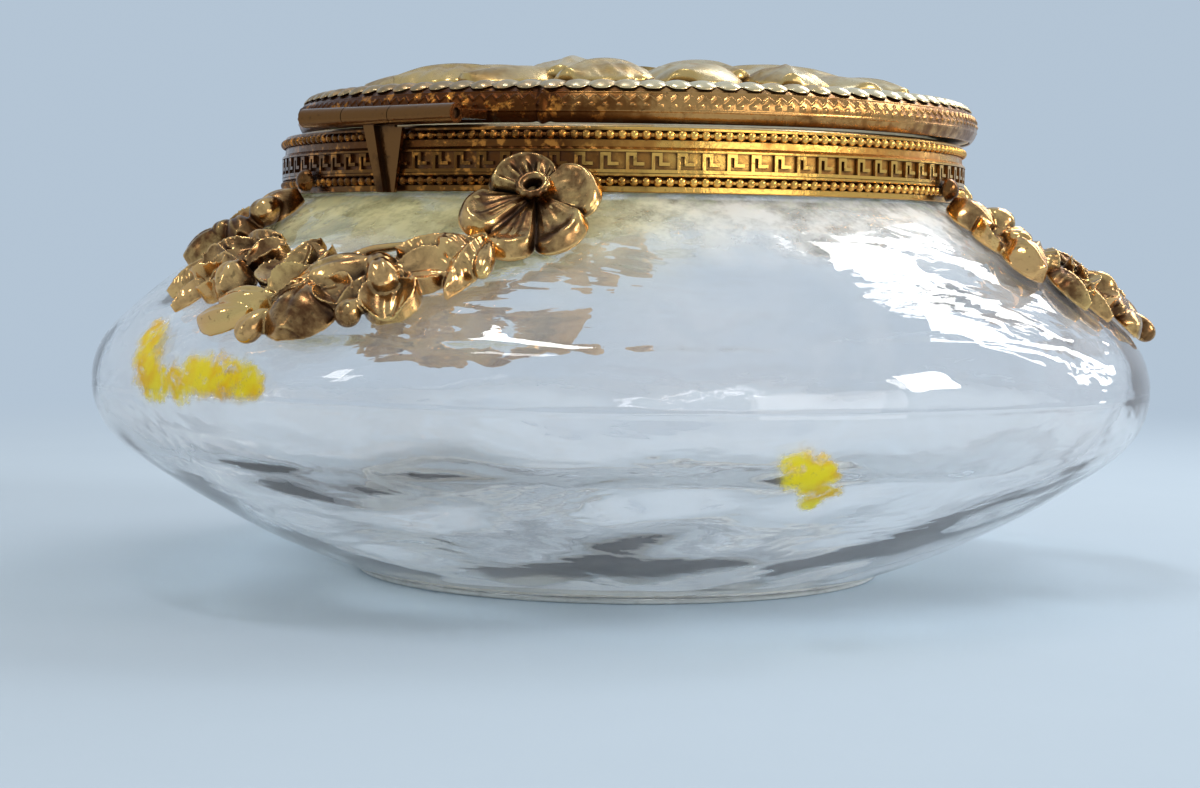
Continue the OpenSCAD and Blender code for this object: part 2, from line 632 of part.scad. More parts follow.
// The relief is one stamped sheet: rings of points on its face, and fewer on its underside
module relief_shape() {
    spokes = relief_spokes;
    low_rings = 3;
    function spot(r, t, z) = [r * cos(t), r * sin(t), dome_z(r) + plate_t + relief_lift + z];
    function turn_on(i) = (i + 1) % spokes;
    top = [for (j = [1:relief_rings]) for (i = [0:spokes - 1])
        let (r = relief_r * j / relief_rings, t = 360 * i / spokes) spot(r, t, relief_high(r, t))];
    under = [for (j = [1:low_rings]) for (i = [0:spokes - 1])
        spot(relief_r * j / low_rings, 360 * i / spokes, 0)];
    low = len(top);
    rim_row = (relief_rings - 1) * spokes;
    low_rim = low + (low_rings - 1) * spokes;
    mid = low + len(under);
    faces = concat(
        [for (i = [0:spokes - 1]) [mid, turn_on(i), i]],
        [for (j = [0:relief_rings - 2]) for (i = [0:spokes - 1])
            let (a = j * spokes + i, b = j * spokes + turn_on(i), c = a + spokes, d = b + spokes)
            for (f = [[a, b, c], [b, d, c]]) f],
        [for (i = [0:spokes - 1])
            let (a = rim_row + i, b = rim_row + turn_on(i), c = low_rim + i, d = low_rim + turn_on(i))
            for (f = [[a, b, c], [b, d, c]]) f],
        [for (j = [0:low_rings - 2]) for (i = [0:spokes - 1])
            let (c = low + j * spokes + i, d = low + j * spokes + turn_on(i), a = c + spokes, b = d + spokes)
            for (f = [[a, b, c], [b, d, c]]) f],
        [for (i = [0:spokes - 1]) [mid + 1, low + i, low + turn_on(i)]]);
    polyhedron(points = concat(top, under, [spot(0, 0, relief_t + 0.68 * relief_rise), spot(0, 0, 0)]), faces = faces,
        convexity = 8);
}

module lid_relief() color(pale_brass) on_lid() relief_shape();

// ---------- garlands ----------

module back_garland() garland(back_turn);
module back_flower() flower(back_turn);
module back_rivet() rivet(back_turn);
module back_stud() stud(back_turn);
module left_garland() garland(left_turn);
module left_flower() flower(left_turn);
module left_rivet() rivet(left_turn);
module left_stud() stud(left_turn);
module right_garland() garland(right_turn);
module right_flower() flower(right_turn);
module right_rivet() rivet(right_turn);
module right_stud() stud(right_turn);

glass_bowl();
neck_cement();
collar_band();
lower_beading();
upper_beading();
meander_strip();
lip_ring();
hinge_strap();
hinge_pin();
back_garland();
back_flower();
back_rivet();
back_stud();
left_garland();
left_flower();
left_rivet();
left_stud();
right_garland();
right_flower();
right_rivet();
right_stud();
lid_rim();
lid_bezel();
lid_plate();
lid_backing();
lid_relief();
lid_hinge_leaf();
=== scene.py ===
import math

import bpy
import numpy as np
from mathutils import Matrix, Vector


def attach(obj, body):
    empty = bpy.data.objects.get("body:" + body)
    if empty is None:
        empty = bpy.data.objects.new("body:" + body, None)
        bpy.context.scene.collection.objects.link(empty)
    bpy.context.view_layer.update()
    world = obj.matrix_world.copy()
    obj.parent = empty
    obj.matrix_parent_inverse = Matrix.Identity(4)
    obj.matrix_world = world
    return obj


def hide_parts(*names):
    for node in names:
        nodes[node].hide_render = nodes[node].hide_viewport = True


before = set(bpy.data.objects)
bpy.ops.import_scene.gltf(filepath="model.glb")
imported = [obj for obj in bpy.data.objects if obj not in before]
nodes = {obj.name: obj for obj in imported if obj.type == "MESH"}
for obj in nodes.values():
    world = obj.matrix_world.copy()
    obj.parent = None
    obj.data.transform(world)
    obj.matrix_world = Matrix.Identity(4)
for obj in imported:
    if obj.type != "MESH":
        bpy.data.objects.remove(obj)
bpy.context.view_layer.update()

MM = 0.001
BACKGROUND = (0.455, 0.555, 0.665, 1)
FLOOR_GREYS = (0.445, 0.545, 0.655, 1), (0.465, 0.565, 0.675, 1)

# The photograph's view: its turn round the box in degrees, and the camera's distance and height in metres
VIEW_TURN, VIEW_FAR, VIEW_HIGH = 219, 0.4, 0.0542
VIEW_SWING, VIEW_DOWN, VIEW_ROLL = math.atan(20 / 2300), 3.46, 0.8
PHOTO_RIGHT = (-0.777, -0.629)
HINGE_SIDE = (0.26, 0.966)
MIDDLE = (0, 0, 0.045)


# ---------- camera ----------

def aim_camera():
    turn = math.radians(VIEW_TURN)
    place = Matrix.Rotation(turn, 4, "Z") @ Vector((0, -VIEW_FAR, VIEW_HIGH))
    swing = turn + VIEW_SWING
    tilt = math.radians(90 - VIEW_DOWN)
    data = bpy.data.cameras.new("camera")
    data.sensor_width = 36
    data.sensor_fit = "HORIZONTAL"
    data.lens = 69
    data.clip_start = 0.01
    data.clip_end = 30
    camera = bpy.data.objects.new("camera", data)
    bpy.context.scene.collection.objects.link(camera)
    camera.matrix_world = (Matrix.Translation(place) @ Matrix.Rotation(swing, 4, "Z")
                           @ Matrix.Rotation(tilt, 4, "X") @ Matrix.Rotation(math.radians(VIEW_ROLL), 4, "Z"))
    bpy.context.scene.camera = camera


aim_camera()


# ---------- materials ----------

class Shader:
    """A material's node tree, with short calls for the nodes used here."""

    def __init__(self, name):
        self.material = bpy.data.materials.new(name)
        self.material.use_nodes = True
        self.tree = self.material.node_tree
        self.tree.nodes.clear()
        self.out = self.node("ShaderNodeOutputMaterial")
        self.coords = self.node("ShaderNodeTexCoord").outputs["Object"]

    def node(self, kind, **settings):
        made = self.tree.nodes.new(kind)
        for key, value in settings.items():
            setattr(made, key, value)
        return made

    def put(self, value, socket):
        if isinstance(value, bpy.types.NodeSocket):
            self.tree.links.new(value, socket)
        elif hasattr(socket.default_value, "__len__") and not hasattr(value, "__len__"):
            socket.default_value = [value] * len(socket.default_value)
        else:
            socket.default_value = value

    def math(self, kind, a, b=0.0, clamp=False):
        made = self.node("ShaderNodeMath", operation=kind, use_clamp=clamp)
        self.put(a, made.inputs[0])
        self.put(b, made.inputs[1])
        return made.outputs[0]

    def times(self, a, b, clamp=False):
        return self.math("MULTIPLY", a, b, clamp)

    def plus(self, a, b, clamp=False):
        return self.math("ADD", a, b, clamp)

    def one_less(self, value, clamp=False):
        return self.math("SUBTRACT", 1.0, value, clamp)

    def vector(self, kind, a, b):
        made = self.node("ShaderNodeVectorMath", operation=kind)
        self.put(a, made.inputs[0])
        self.put(b, made.inputs[1])
        return made.outputs

    def plain(self, kind, colour, rough=None):
        """A shader with one socket for its colour, and its roughness where it has any."""
        made = self.node(kind)
        self.put(colour, made.inputs[0])
        if rough is not None:
            made.inputs["Roughness"].default_value = rough
        return made

    def noise(self, scale, detail=4, rough=0.55, warp=0.0, coords=None):
        made = self.node("ShaderNodeTexNoise")
        self.put(coords or self.coords, made.inputs["Vector"])
        made.inputs["Scale"].default_value = scale
        made.inputs["Detail"].default_value = detail
        made.inputs["Roughness"].default_value = rough
        made.inputs["Distortion"].default_value = warp
        return made.outputs["Fac"]

    def span(self, value, low, high, to_low=0.0, to_high=1.0):
        """Eases from to_low to to_high while the value goes from low to high."""
        made = self.node("ShaderNodeMapRange", interpolation_type="SMOOTHSTEP")
        self.put(value, made.inputs[0])
        for i, number in enumerate((low, high, to_low, to_high), 1):
            made.inputs[i].default_value = number
        return made.outputs[0]

    def mix(self, share, a, b):
        made = self.node("ShaderNodeMix", data_type="RGBA")
        self.put(share, made.inputs[0])
        self.put(a, made.inputs[6])
        self.put(b, made.inputs[7])
        return made.outputs[2]

    def mix_shader(self, share, a, b):
        made = self.node("ShaderNodeMixShader")
        self.put(share, made.inputs[0])
        self.put(a, made.inputs[1])
        self.put(b, made.inputs[2])
        return made.outputs[0]

    def shadow_in(self, distance, alone):
        """1 deep in a hollow. alone leaves the other pieces out, such as the glass under a casting."""
        made = self.node("ShaderNodeAmbientOcclusion", samples=5, only_local=alone)
        made.inputs["Distance"].default_value = distance
        return self.one_less(made.outputs["AO"], True)

    def bump(self, height, strength, distance):
        made = self.node("ShaderNodeBump")
        self.put(height, made.inputs["Height"])
        made.inputs["Strength"].default_value = strength
        made.inputs["Distance"].default_value = distance
        return made.outputs["Normal"]

    def xyz(self):
        made = self.node("ShaderNodeSeparateXYZ")
        self.put(self.coords, made.inputs[0])
        return made.outputs

    def along(self, way, reach=1.0):
        """How far a point lies in a level direction, in metres or as a share of a reach."""
        x, y, _ = self.xyz()
        return self.plus(self.times(x, way[0] / reach), self.times(y, way[1] / reach))

    def finish(self, surface):
        self.tree.links.new(surface, self.out.inputs["Surface"])
        return self.material


def rgb(r, g, b):
    return (r, g, b, 1.0)


def brass(name, gold, brown, dirt_and_shade, rub=1.0, green=0.1, rough=0.20, fine=1.0, film=None, hinge_shade=0.0,
          alone=False, glint=None):
    """Old gilt brass: gold where it is rubbed, brown patina, grime spots, and grime with painted shade in the
    hollows, where there is a little verdigris.

    The rubbed edges are wear with a painted edge highlight. One share paints shade towards the hinge; film
    pales it, most towards the camera's right, a pale film that is partly painted sheen there; and glint is a
    second gold.
    """
    s = Shader(name)
    broad = s.noise(48, 6, 0.62, 0.4)
    small = s.noise(520, 6, 0.6)
    share = 0.22 if alone else 0.38
    blotch = s.span(s.plus(s.times(broad, 1 - share), s.times(small, share)), 0.40, 0.60)
    # How deep a point lies in occlusion; the hollows are darkened with it below, which is painted shade as
    # well as grime
    hollow = s.span(s.shadow_in(0.0034 if alone else 0.0022, alone), 0.14, 0.60 if alone else 0.72)
    open_face = s.one_less(hollow)
    # Pointy edges turn gold: wear, and a painted edge highlight
    edge = s.node("ShaderNodeNewGeometry").outputs["Pointiness"]
    rubbed = s.span(edge, 0.505, 0.56)
    lit = s.times(s.plus(blotch, rubbed, True), open_face, True)
    colour = s.mix(s.times(lit, rub, True), brown, gold)
    if glint:
        patch = s.times(s.span(s.noise(75, 4, 0.6, 0.5), 0.42, 0.70), lit)
        colour = s.mix(s.times(patch, 0.85), colour, glint)
    # Painted shade and grime: the hollows darkened towards the grime colour
    colour = s.mix(s.times(hollow, 0.9), colour, dirt_and_shade)
    spots = s.span(s.noise(900, 3), 0.62, 0.72)
    colour = s.mix(s.times(spots, 0.45), colour, dirt_and_shade)
    # Painted shade: darker towards the hinge side, where less light falls, with orange spots in it
    if hinge_shade:
        hinge_nearness = s.plus(s.along(HINGE_SIDE, 0.058), s.times(s.noise(150, 6, 0.65), 0.5))
        dark = s.times(s.span(hinge_nearness, 0.76, 0.98), hinge_shade)
        orange = s.times(s.span(small, 0.52, 0.62), open_face)
        old = s.mix(s.times(orange, 0.8), rgb(0.105, 0.031, 0.007), rgb(0.72, 0.26, 0.045))
        colour = s.mix(dark, colour, old)
    metal = s.one_less(s.times(hollow, 0.35))
    if green:
        crust = s.times(s.span(s.noise(210, 5, 0.7), 0.52, 0.66), green)
        crust = s.times(crust, s.span(hollow, 0.15, 0.7), True)
        colour = s.mix(crust, colour, rgb(0.16, 0.26, 0.15))
        metal = s.math("SUBTRACT", metal, crust, True)
    # A pale film, partly real and partly painted sheen, strongest towards the camera's right where the light
    # falls
    if film:
        pale = s.times(s.span(s.noise(95, 5, 0.6, 0.3), 0.34, 0.56), open_face)
        pale = s.times(pale, s.one_less(s.times(rubbed, 0.8)), True)
        pale = s.times(pale, s.span(s.along(PHOTO_RIGHT), -0.040, 0.012, 0.2, 1.0))
        colour = s.mix(s.times(pale, 0.8), colour, film)
        metal = s.math("SUBTRACT", metal, s.times(pale, 0.55), True)
    shine = s.plain("ShaderNodeBsdfPrincipled", colour)
    s.put(metal, shine.inputs["Metallic"])
    s.put(s.plus(s.times(s.one_less(lit), 0.22), rough), shine.inputs["Roughness"])
    tooth = s.plus(s.times(s.noise(1500, 3), 0.5), s.noise(380, 4))
    s.put(s.bump(tooth, 0.35 * fine, 0.00025), shine.inputs["Normal"])
    return s.finish(shine.outputs[0])


# Grime colour, which in the hollows also paints shade
DIRT_AND_SHADE = rgb(0.050, 0.022, 0.008)
collar_brass = brass("collar_brass", rgb(0.98, 0.53, 0.12), rgb(0.52, 0.22, 0.045), rgb(0.10, 0.038, 0.008),
                     rough=0.17, hinge_shade=0.92)
rim_brass = brass("rim_brass", rgb(0.66, 0.34, 0.11), rgb(0.22, 0.088, 0.022), DIRT_AND_SHADE, rub=0.9, green=0.3,
                  rough=0.17, hinge_shade=1.0)
cast_brass = brass("cast_brass", rgb(0.96, 0.55, 0.21), rgb(0.120, 0.049, 0.019), rgb(0.024, 0.011, 0.005),
                   rub=0.9, rough=0.10, fine=0.5, alone=True, glint=rgb(0.80, 0.54, 0.19))
relief_brass = brass("relief_brass", rgb(0.74, 0.47, 0.15), rgb(0.36, 0.21, 0.07), rgb(0.045, 0.025, 0.012),
                     rough=0.24, film=rgb(0.50, 0.47, 0.32))
hinge_brass = brass("hinge_brass", rgb(0.29, 0.125, 0.038), rgb(0.046, 0.018, 0.006), DIRT_AND_SHADE, rub=0.7,
                    green=0.15, rough=0.18)
# Lighter brass for the lid's underside, which lies in shade inside the bowl: painted light, so its reflection
# in the glass reads less dark
painted_light_backing_brass = brass("painted_light_backing_brass", rgb(0.80, 0.60, 0.30), rgb(0.58, 0.38, 0.16), DIRT_AND_SHADE, rough=0.32)
bright_brass = brass("bright_brass", rgb(0.86, 0.62, 0.30), rgb(0.52, 0.30, 0.10), DIRT_AND_SHADE, green=0.0,
                     film=rgb(0.60, 0.60, 0.46), hinge_shade=0.55)


def cement_material():
    s = Shader("old_cement")
    grain = s.noise(700, 5, 0.65)
    colour = s.mix(s.span(grain, 0.35, 0.65), rgb(0.50, 0.47, 0.38), rgb(0.74, 0.71, 0.60))
    colour = s.mix(s.span(s.noise(120, 4), 0.52, 0.68), colour, rgb(0.36, 0.42, 0.28))
    body = s.plain("ShaderNodeBsdfPrincipled", colour, 0.85)
    s.put(s.bump(grain, 0.5, 0.0004), body.inputs["Normal"])
    return s.finish(body.outputs[0])


# Middles and reaches of the stains, in metres
STAINS = [
    ((0.0253, 0.0832, 0.0412), 0.0042), ((0.0239, 0.0851, 0.0390), 0.0048),
    ((0.0225, 0.0865, 0.0368), 0.0052), ((0.0206, 0.0875, 0.0347), 0.0046),
    ((0.0168, 0.0884, 0.0340), 0.0038), ((0.0126, 0.0890, 0.0345), 0.0040),
    ((0.0090, 0.0892, 0.0357), 0.0042), ((0.0055, 0.0894, 0.0361), 0.0044),
    ((0.0022, 0.0894, 0.0362), 0.0046), ((-0.0012, 0.0895, 0.0358), 0.0044),
    ((-0.0037, 0.0896, 0.0354), 0.0036), ((-0.0720, 0.0486, 0.0243), 0.0044),
    ((-0.0721, 0.0464, 0.0229), 0.0044), ((-0.0738, 0.0458, 0.0244), 0.0034),
    ((-0.0718, 0.0428, 0.0213), 0.0034), ((-0.0700, 0.0430, 0.0200), 0.0034)]


def stain_mask(s):
    """1 in the stains and 0 on clean glass, with frayed edges."""
    fray = s.node("ShaderNodeTexNoise")
    s.put(s.coords, fray.inputs["Vector"])
    fray.inputs["Scale"].default_value = 210
    fray.inputs["Detail"].default_value = 5
    fray.inputs["Roughness"].default_value = 0.65
    pull = s.node("ShaderNodeVectorMath", operation="MULTIPLY_ADD")
    s.put(fray.outputs["Color"], pull.inputs[0])
    pull.inputs[1].default_value = (0.007, 0.007, 0.007)
    pull.inputs[2].default_value = (-0.0035, -0.0035, -0.0035)
    frayed = s.vector("ADD", s.coords, pull.outputs[0])[0]
    blur = s.span(s.noise(330, 5, 0.7), 0.26, 0.50)
    stain = 0.0
    for place, reach in STAINS:
        away = s.vector("DISTANCE", frayed, place)["Value"]
        one = s.times(s.span(away, reach * 0.45, reach, 1.0, 0.0), blur)
        stain = s.math("MAXIMUM", stain, one)
    return stain


def glass_material():
    """Clear blown glass with old yellow stains, a milky veil and crust by the collar, and a ground foot."""
    s = Shader("blown_glass")
    height = s.xyz()[2]
    glass = s.plain("ShaderNodeBsdfPrincipled", (1.0, 0.993, 0.987, 1), 0.0)
    glass.inputs["IOR"].default_value = 1.5
    glass.inputs["Transmission Weight"].default_value = 1.0
    flow = s.vector("MULTIPLY", s.coords, (1.0, 1.0, 3.2))[0]
    ripple = s.plus(s.noise(30, 3, 0.45, 0.7, flow), s.times(s.noise(95, 3, 0.5, 1.0, flow), 0.07))
    s.put(s.bump(ripple, 0.15, 0.002), glass.inputs["Normal"])
    clear = s.plain("ShaderNodeBsdfTransparent", (0.93, 0.95, 0.95, 1))
    path = s.node("ShaderNodeLightPath")
    look = s.mix_shader(path.outputs["Is Shadow Ray"], glass.outputs[0], clear.outputs[0])

    by_collar = s.mix(s.span(s.along(PHOTO_RIGHT), -0.012, 0.022),
                      rgb(0.96, 0.89, 0.46), rgb(0.96, 0.99, 0.99))
    milk = s.mix(s.span(height, 0.040, 0.062), rgb(0.76, 0.73, 0.75), by_collar)
    haze = s.plain("ShaderNodeBsdfPrincipled", milk, 0.6)
    thick = s.times(s.span(height, 0.050, 0.0635), s.span(s.noise(170, 5, 0.65), 0.36, 0.64, 0.16, 0.70))
    veil = s.plus(s.span(s.noise(60, 5, 0.6, 0.6), 0.36, 0.70, 0.03, 0.09), thick)
    look = s.mix_shader(veil, look, haze.outputs[0])

    yellow = s.mix(s.span(s.noise(150, 4), 0.35, 0.62), rgb(0.88, 0.50, 0.001), rgb(0.97, 0.78, 0.010))
    film = s.plain("ShaderNodeBsdfPrincipled", yellow, 0.5)
    film.inputs["Specular IOR Level"].default_value = 0.2
    look = s.mix_shader(s.times(stain_mask(s), 0.97), look, film.outputs[0])

    crust = s.times(s.span(height, 0.0600, 0.0636), s.span(s.noise(330, 6, 0.7), 0.46, 0.66))
    grime = s.mix(s.noise(600, 3), rgb(0.30, 0.42, 0.16), rgb(0.72, 0.74, 0.60))
    crusted = s.plain("ShaderNodeBsdfPrincipled", grime, 0.8)
    look = s.mix_shader(s.times(crust, 0.6), look, crusted.outputs[0])

    ground = s.times(s.span(height, 0.0003, 0.0013, 1.0, 0.0), s.span(s.noise(300, 4), 0.2, 0.6, 0.45, 0.8))
    frost = s.plain("ShaderNodeBsdfPrincipled", (0.80, 0.82, 0.80, 1), 0.4)
    look = s.mix_shader(ground, look, frost.outputs[0])
    return s.finish(look)


# ---------- mesh helpers ----------

def piece(name, verts, faces, body, material, replaced):
    """A smooth mesh from points in metres, riding on a body in place of the nodes it replaces."""
    mesh = bpy.data.meshes.new(name)
    mesh.from_pydata(verts.tolist(), [], faces)
    mesh.validate()
    mesh.polygons.foreach_set("use_smooth", [True] * len(mesh.polygons))
    mesh.update()
    made = bpy.data.objects.new(name, mesh)
    bpy.context.scene.collection.objects.link(made)
    made.data.materials.append(material)
    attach(made, body)
    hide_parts(*replaced)


def arc(centre, radius, start, end, steps):
    t = np.radians(np.linspace(start, end, steps + 1))
    return np.stack([centre[0] + radius * np.cos(t), centre[1] + radius * np.sin(t)], 1)


def circles_meet(a, ra, b, rb, side):
    """Where two circles cross, on one side of the line between their middles."""
    a, b = np.array(a, float), np.array(b, float)
    d = np.hypot(*(b - a))
    k = (ra * ra - rb * rb + d * d) / (2 * d)
    u = (b - a) / d
    return a + u * k + side * math.sqrt(ra * ra - k * k) * np.array([-u[1], u[0]])


def slope(c, p):
    """Direction from c to p, in degrees."""
    return math.degrees(math.atan2(p[1] - c[1], p[0] - c[0]))


def ring_faces(rows, steps, closed_rows):
    """Quads between rows of points that run round the axis."""
    quads = []
    last = rows if closed_rows else rows - 1
    for j in range(last):
        a, b = j * steps, (j + 1) % rows * steps
        for i in range(steps):
            k = (i + 1) % steps
            quads.append((a + i, a + k, b + k, b + i))
    return quads


def turned(r, z, t, aside=0.0):
    """Points at radius r, height z and turn t round the axis, or round one set aside along Y."""
    return np.stack([r * np.cos(t), r * np.sin(t) + aside, z], 2).reshape(-1, 3)


def round_turn(steps):
    return np.linspace(0, 2 * math.pi, steps, endpoint=False)[None, :]


# ---------- the bowl ----------

# Radii and heights in mm: the belly's rounded nose lies between the long arcs of shoulder and underside
BELLY_R, BELLY_Z, NOSE_R, SHOULDER, UNDER = 90.0, 32.7, 13.6, 142.0, 134.0
NECK_R, SHOULDER_Z, NECK_TOP, FOOT_R, FOOT_H, WALL, FLOOR = 56.2, 63.4, 72.4, 45.3, 0.9, 2.8, 4.4
NOSE = (BELLY_R - NOSE_R, BELLY_Z)
SHOULDER_C = circles_meet(NOSE, SHOULDER - NOSE_R, (NECK_R, SHOULDER_Z), SHOULDER, 1)
UNDER_C = circles_meet(NOSE, UNDER - NOSE_R, (FOOT_R, FOOT_H), UNDER, -1)
NECK_T, TOP_T = slope(SHOULDER_C, (NECK_R, SHOULDER_Z)), slope(SHOULDER_C, NOSE)
LOW_T, FOOT_T = slope(UNDER_C, NOSE), slope(UNDER_C, (FOOT_R, FOOT_H))
SHOULDER_LEN = math.radians(SHOULDER * (NECK_T - TOP_T))


def down_turn(s):
    """The way the glass faces, in degrees above level, s mm down its outside from the collar."""
    if s < SHOULDER_LEN:
        return NECK_T - math.degrees(s / SHOULDER)
    return TOP_T - math.degrees((s - SHOULDER_LEN) / NOSE_R)


def down_point(s, lift):
    """Radius and height of a point s mm down the glass and lifted off it."""
    t = math.radians(down_turn(s))
    if s < SHOULDER_LEN:
        return SHOULDER_C + (SHOULDER + lift) * np.array([math.cos(t), math.sin(t)])
    return np.array(NOSE) + (NOSE_R + lift) * np.array([math.cos(t), math.sin(t)])


def bowl():
    """The hollow bowl in one skin, with the waves of blown glass and the fine line of its mould."""
    steps = 288
    inner_neck = NECK_R - WALL * 0.78
    shoulder_in, under_in = SHOULDER - WALL, UNDER - WALL
    outer = np.vstack([
        [[0, 1.2], [15, 1.2], [28, 1.2], [34, 1.15], [FOOT_R - 4.2, 0.12], [FOOT_R - 3.9, 0], [FOOT_R - 1, 0],
         [FOOT_R - 0.35, 0.05], [FOOT_R, 0.35]],
        arc(UNDER_C, UNDER, FOOT_T, LOW_T, 44), arc(NOSE, NOSE_R, LOW_T, TOP_T, 84)[1:],
        arc(SHOULDER_C, SHOULDER, TOP_T, NECK_T, 34)[1:],
        [[NECK_R, 66], [NECK_R, 70], [NECK_R, NECK_TOP - 0.4], [NECK_R - 0.4, NECK_TOP],
         [inner_neck, NECK_TOP]]])
    neck_t = math.degrees(math.acos((inner_neck - SHOULDER_C[0]) / shoulder_in))
    floor_t = -math.degrees(math.asin((UNDER_C[1] - FLOOR) / under_in))
    inner = np.vstack([
        [[inner_neck, 70]], arc(SHOULDER_C, shoulder_in, neck_t, TOP_T, 34),
        arc(NOSE, NOSE_R - WALL, TOP_T, LOW_T, 34)[1:], arc(UNDER_C, under_in, LOW_T, floor_t, 40)[1:]])
    floor_r, floor_rise = inner[-1][0], 0.3
    inner = np.vstack([inner, [[floor_r * k, FLOOR + floor_rise * (1 - k * k)]
                               for k in (0.86, 0.66, 0.46, 0.26, 0.1, 0)]])
    profile = np.vstack([outer, inner])
    along = np.concatenate([[0], np.cumsum(np.hypot(*np.diff(profile, axis=0).T))])
    tangent = np.gradient(profile, axis=0)
    tangent /= np.maximum(np.hypot(*tangent.T), 1e-9)[:, None]
    normal = np.stack([tangent[:, 1], -tangent[:, 0]], 1)
    rows = profile[1:-1]
    t = round_turn(steps)
    s = along[1:-1][:, None]
    is_inner = (np.arange(1, len(profile) - 1) >= len(outer))[:, None]
    radius, height = rows[:, 0][:, None], rows[:, 1][:, None]
    free = np.clip((radius - 6) / 16, 0, 1) * np.clip((67 - height) / 4, 0, 1)
    wave = (np.sin(3 * t + 0.045 * s + 0.7) + 0.8 * np.sin(5 * t - 0.09 * s + 2.1)
            + 0.6 * np.sin(8 * t + 0.13 * s) + 0.5 * np.sin(2 * t + 0.2 * s + 1.0)
            + 0.35 * np.sin(13 * t - 0.16 * s + 0.4) + 0.3 * np.sin(19 * t + 0.31 * s)
            + 0.25 * np.sin(4 * t + 0.42 * s + 2))
    skin = (np.sin(4 * t - 0.12 * s) + 0.7 * np.sin(9 * t + 0.21 * s + 1.3) + 0.6 * np.sin(15 * t - 0.27 * s)
            + 0.5 * np.sin(6 * t + 0.45 * s + 0.5)) / 2.8
    seam = np.exp(-((height - BELLY_Z) / 0.45) ** 2)
    outside = np.clip((height - 4) / 5, 0, 1) * np.clip((60 - height) / 6, 0, 1)
    lift = np.where(is_inner, 0.22 * wave * free, -0.11 * (1 + skin) * outside - 0.08 * seam * outside)
    ring = rows[:, None, :] + lift[:, :, None] * normal[1:-1][:, None, :]
    poles = [[0, 0, profile[0, 1]], [0, 0, profile[-1, 1]]]
    verts = np.vstack([turned(ring[:, :, 0], ring[:, :, 1], t), poles])
    faces = ring_faces(len(rows), steps, False)
    first, last, row = len(verts) - 2, len(verts) - 1, (len(rows) - 1) * steps
    for i in range(steps):
        k = (i + 1) % steps
        faces.append((first, k, i))
        faces.append((last, row + i, row + k))
    piece("blown_bowl", verts * MM, faces, "bowl", glass_material(), ("glass_bowl",))


# ---------- leaves, petals, buds ----------

def leaf_form(kind, long, wide, high, fine=22, across=16):
    """Leaf or petal with a flat underside, in mm, its middle at the origin and its tip along +X."""
    edge_h, crown, full, point = {"petal": (0.14, 1.0, 1.3, 0.55), "cup": (1.0, 0.42, 1.3, 0.55),
                                  "blade": (0.2, 1.0, 0.85, 1.0), "broad": (0.3, 1.0, 1.1, 0.7)}[kind]
    u = np.linspace(0, 1, fine + 1)[:, None]
    v = np.linspace(-1, 1, across + 1)[None, :]
    half = np.power(np.sin(np.pi * np.power(0.04 + 0.92 * u, full)), point)
    body = (0.45 + 0.55 * np.sin(np.radians(20 + 140 * u)))
    dome = 1 - np.abs(v) ** 2.2
    h = (edge_h + (crown - edge_h) * dome) * body
    mid = np.exp(-(v / 0.13) ** 2)
    tip = np.clip(u * 4, 0, 1) * np.clip((1 - u) * 4, 0, 1)
    if kind == "blade":
        veins = np.abs(np.sin(np.pi * (u * 6.5 - np.abs(v) * 1.1)))
        h = h + (0.10 * mid - 0.11 * veins * (1 - mid)) * tip
    elif kind == "broad":
        veins = np.abs(np.sin(np.pi * (u * 5.5 - np.abs(v) * 1.3)))
        h = h + (0.12 * mid - 0.08 * veins * (1 - mid)) * tip
        half = half * (1 + 0.07 * np.cos(2 * np.pi * u * 4.5))
    elif kind == "cup":
        h = h - 0.10 * np.abs(np.sin(np.pi * v * 2.5)) * tip * (1 - u * 0.4) + 0.10 * np.abs(v) ** 6
    else:
        h = h - 0.14 * mid * tip * (1 - u * 0.5)
    x = long * (u - 0.5) + 0 * v
    y = wide / 2 * v * half
    z = high * np.maximum(h, 0.12)
    top = np.stack([x + 0 * y, y + 0 * x, z + 0 * x], 2)
    low = top.copy()
    low[:, :, 2] = 0
    rows, cols = top.shape[:2]
    verts = np.vstack([top.reshape(-1, 3), low.reshape(-1, 3)])
    off = rows * cols
    faces = []
    for i in range(rows - 1):
        for j in range(cols - 1):
            a = i * cols + j
            faces.append((a, a + cols, a + cols + 1, a + 1))
            faces.append((off + a, off + a + 1, off + a + cols + 1, off + a + cols))
    edge = ([(0, j) for j in range(cols)] + [(i, cols - 1) for i in range(1, rows)]
            + [(rows - 1, j) for j in range(cols - 2, -1, -1)] + [(i, 0) for i in range(rows - 2, 0, -1)])
    for p, q in zip(edge, edge[1:] + edge[:1]):
        a, b = p[0] * cols + p[1], q[0] * cols + q[1]
        faces.append((a, b, off + b, off + a))
    return verts, faces


def ball_form(long, wide, high, around=20, down=12):
    """Egg-shaped bud lying along X on its underside, with a split along its back."""
    verts, faces = [], []
    for i in range(1, down):
        a = math.pi * i / down
        for j in range(around):
            b = 2 * math.pi * j / around
            x = -math.cos(a)
            thick = math.sin(a) * (0.86 + 0.24 * x)
            ridge = 1 - 0.16 * math.exp(-((b - math.pi / 2) / 0.25) ** 2) * (0.4 + 0.6 * math.sin(a))
            verts.append((long / 2 * x, wide / 2 * thick * math.cos(b) * ridge,
                          high * 0.48 + high / 2 * thick * math.sin(b) * ridge))
    verts += [(-long / 2, 0, high * 0.45), (long / 2, 0, high * 0.45)]
    rows = down - 1
    for i in range(rows - 1):
        for j in range(around):
            k = (j + 1) % around
            faces.append((i * around + j, i * around + k, (i + 1) * around + k, (i + 1) * around + j))
    start, end = rows * around, rows * around + 1
    for j in range(around):
        k = (j + 1) % around
        faces.append((start, k, j))
        faces.append((end, (rows - 1) * around + j, (rows - 1) * around + k))
    return np.array(verts), faces


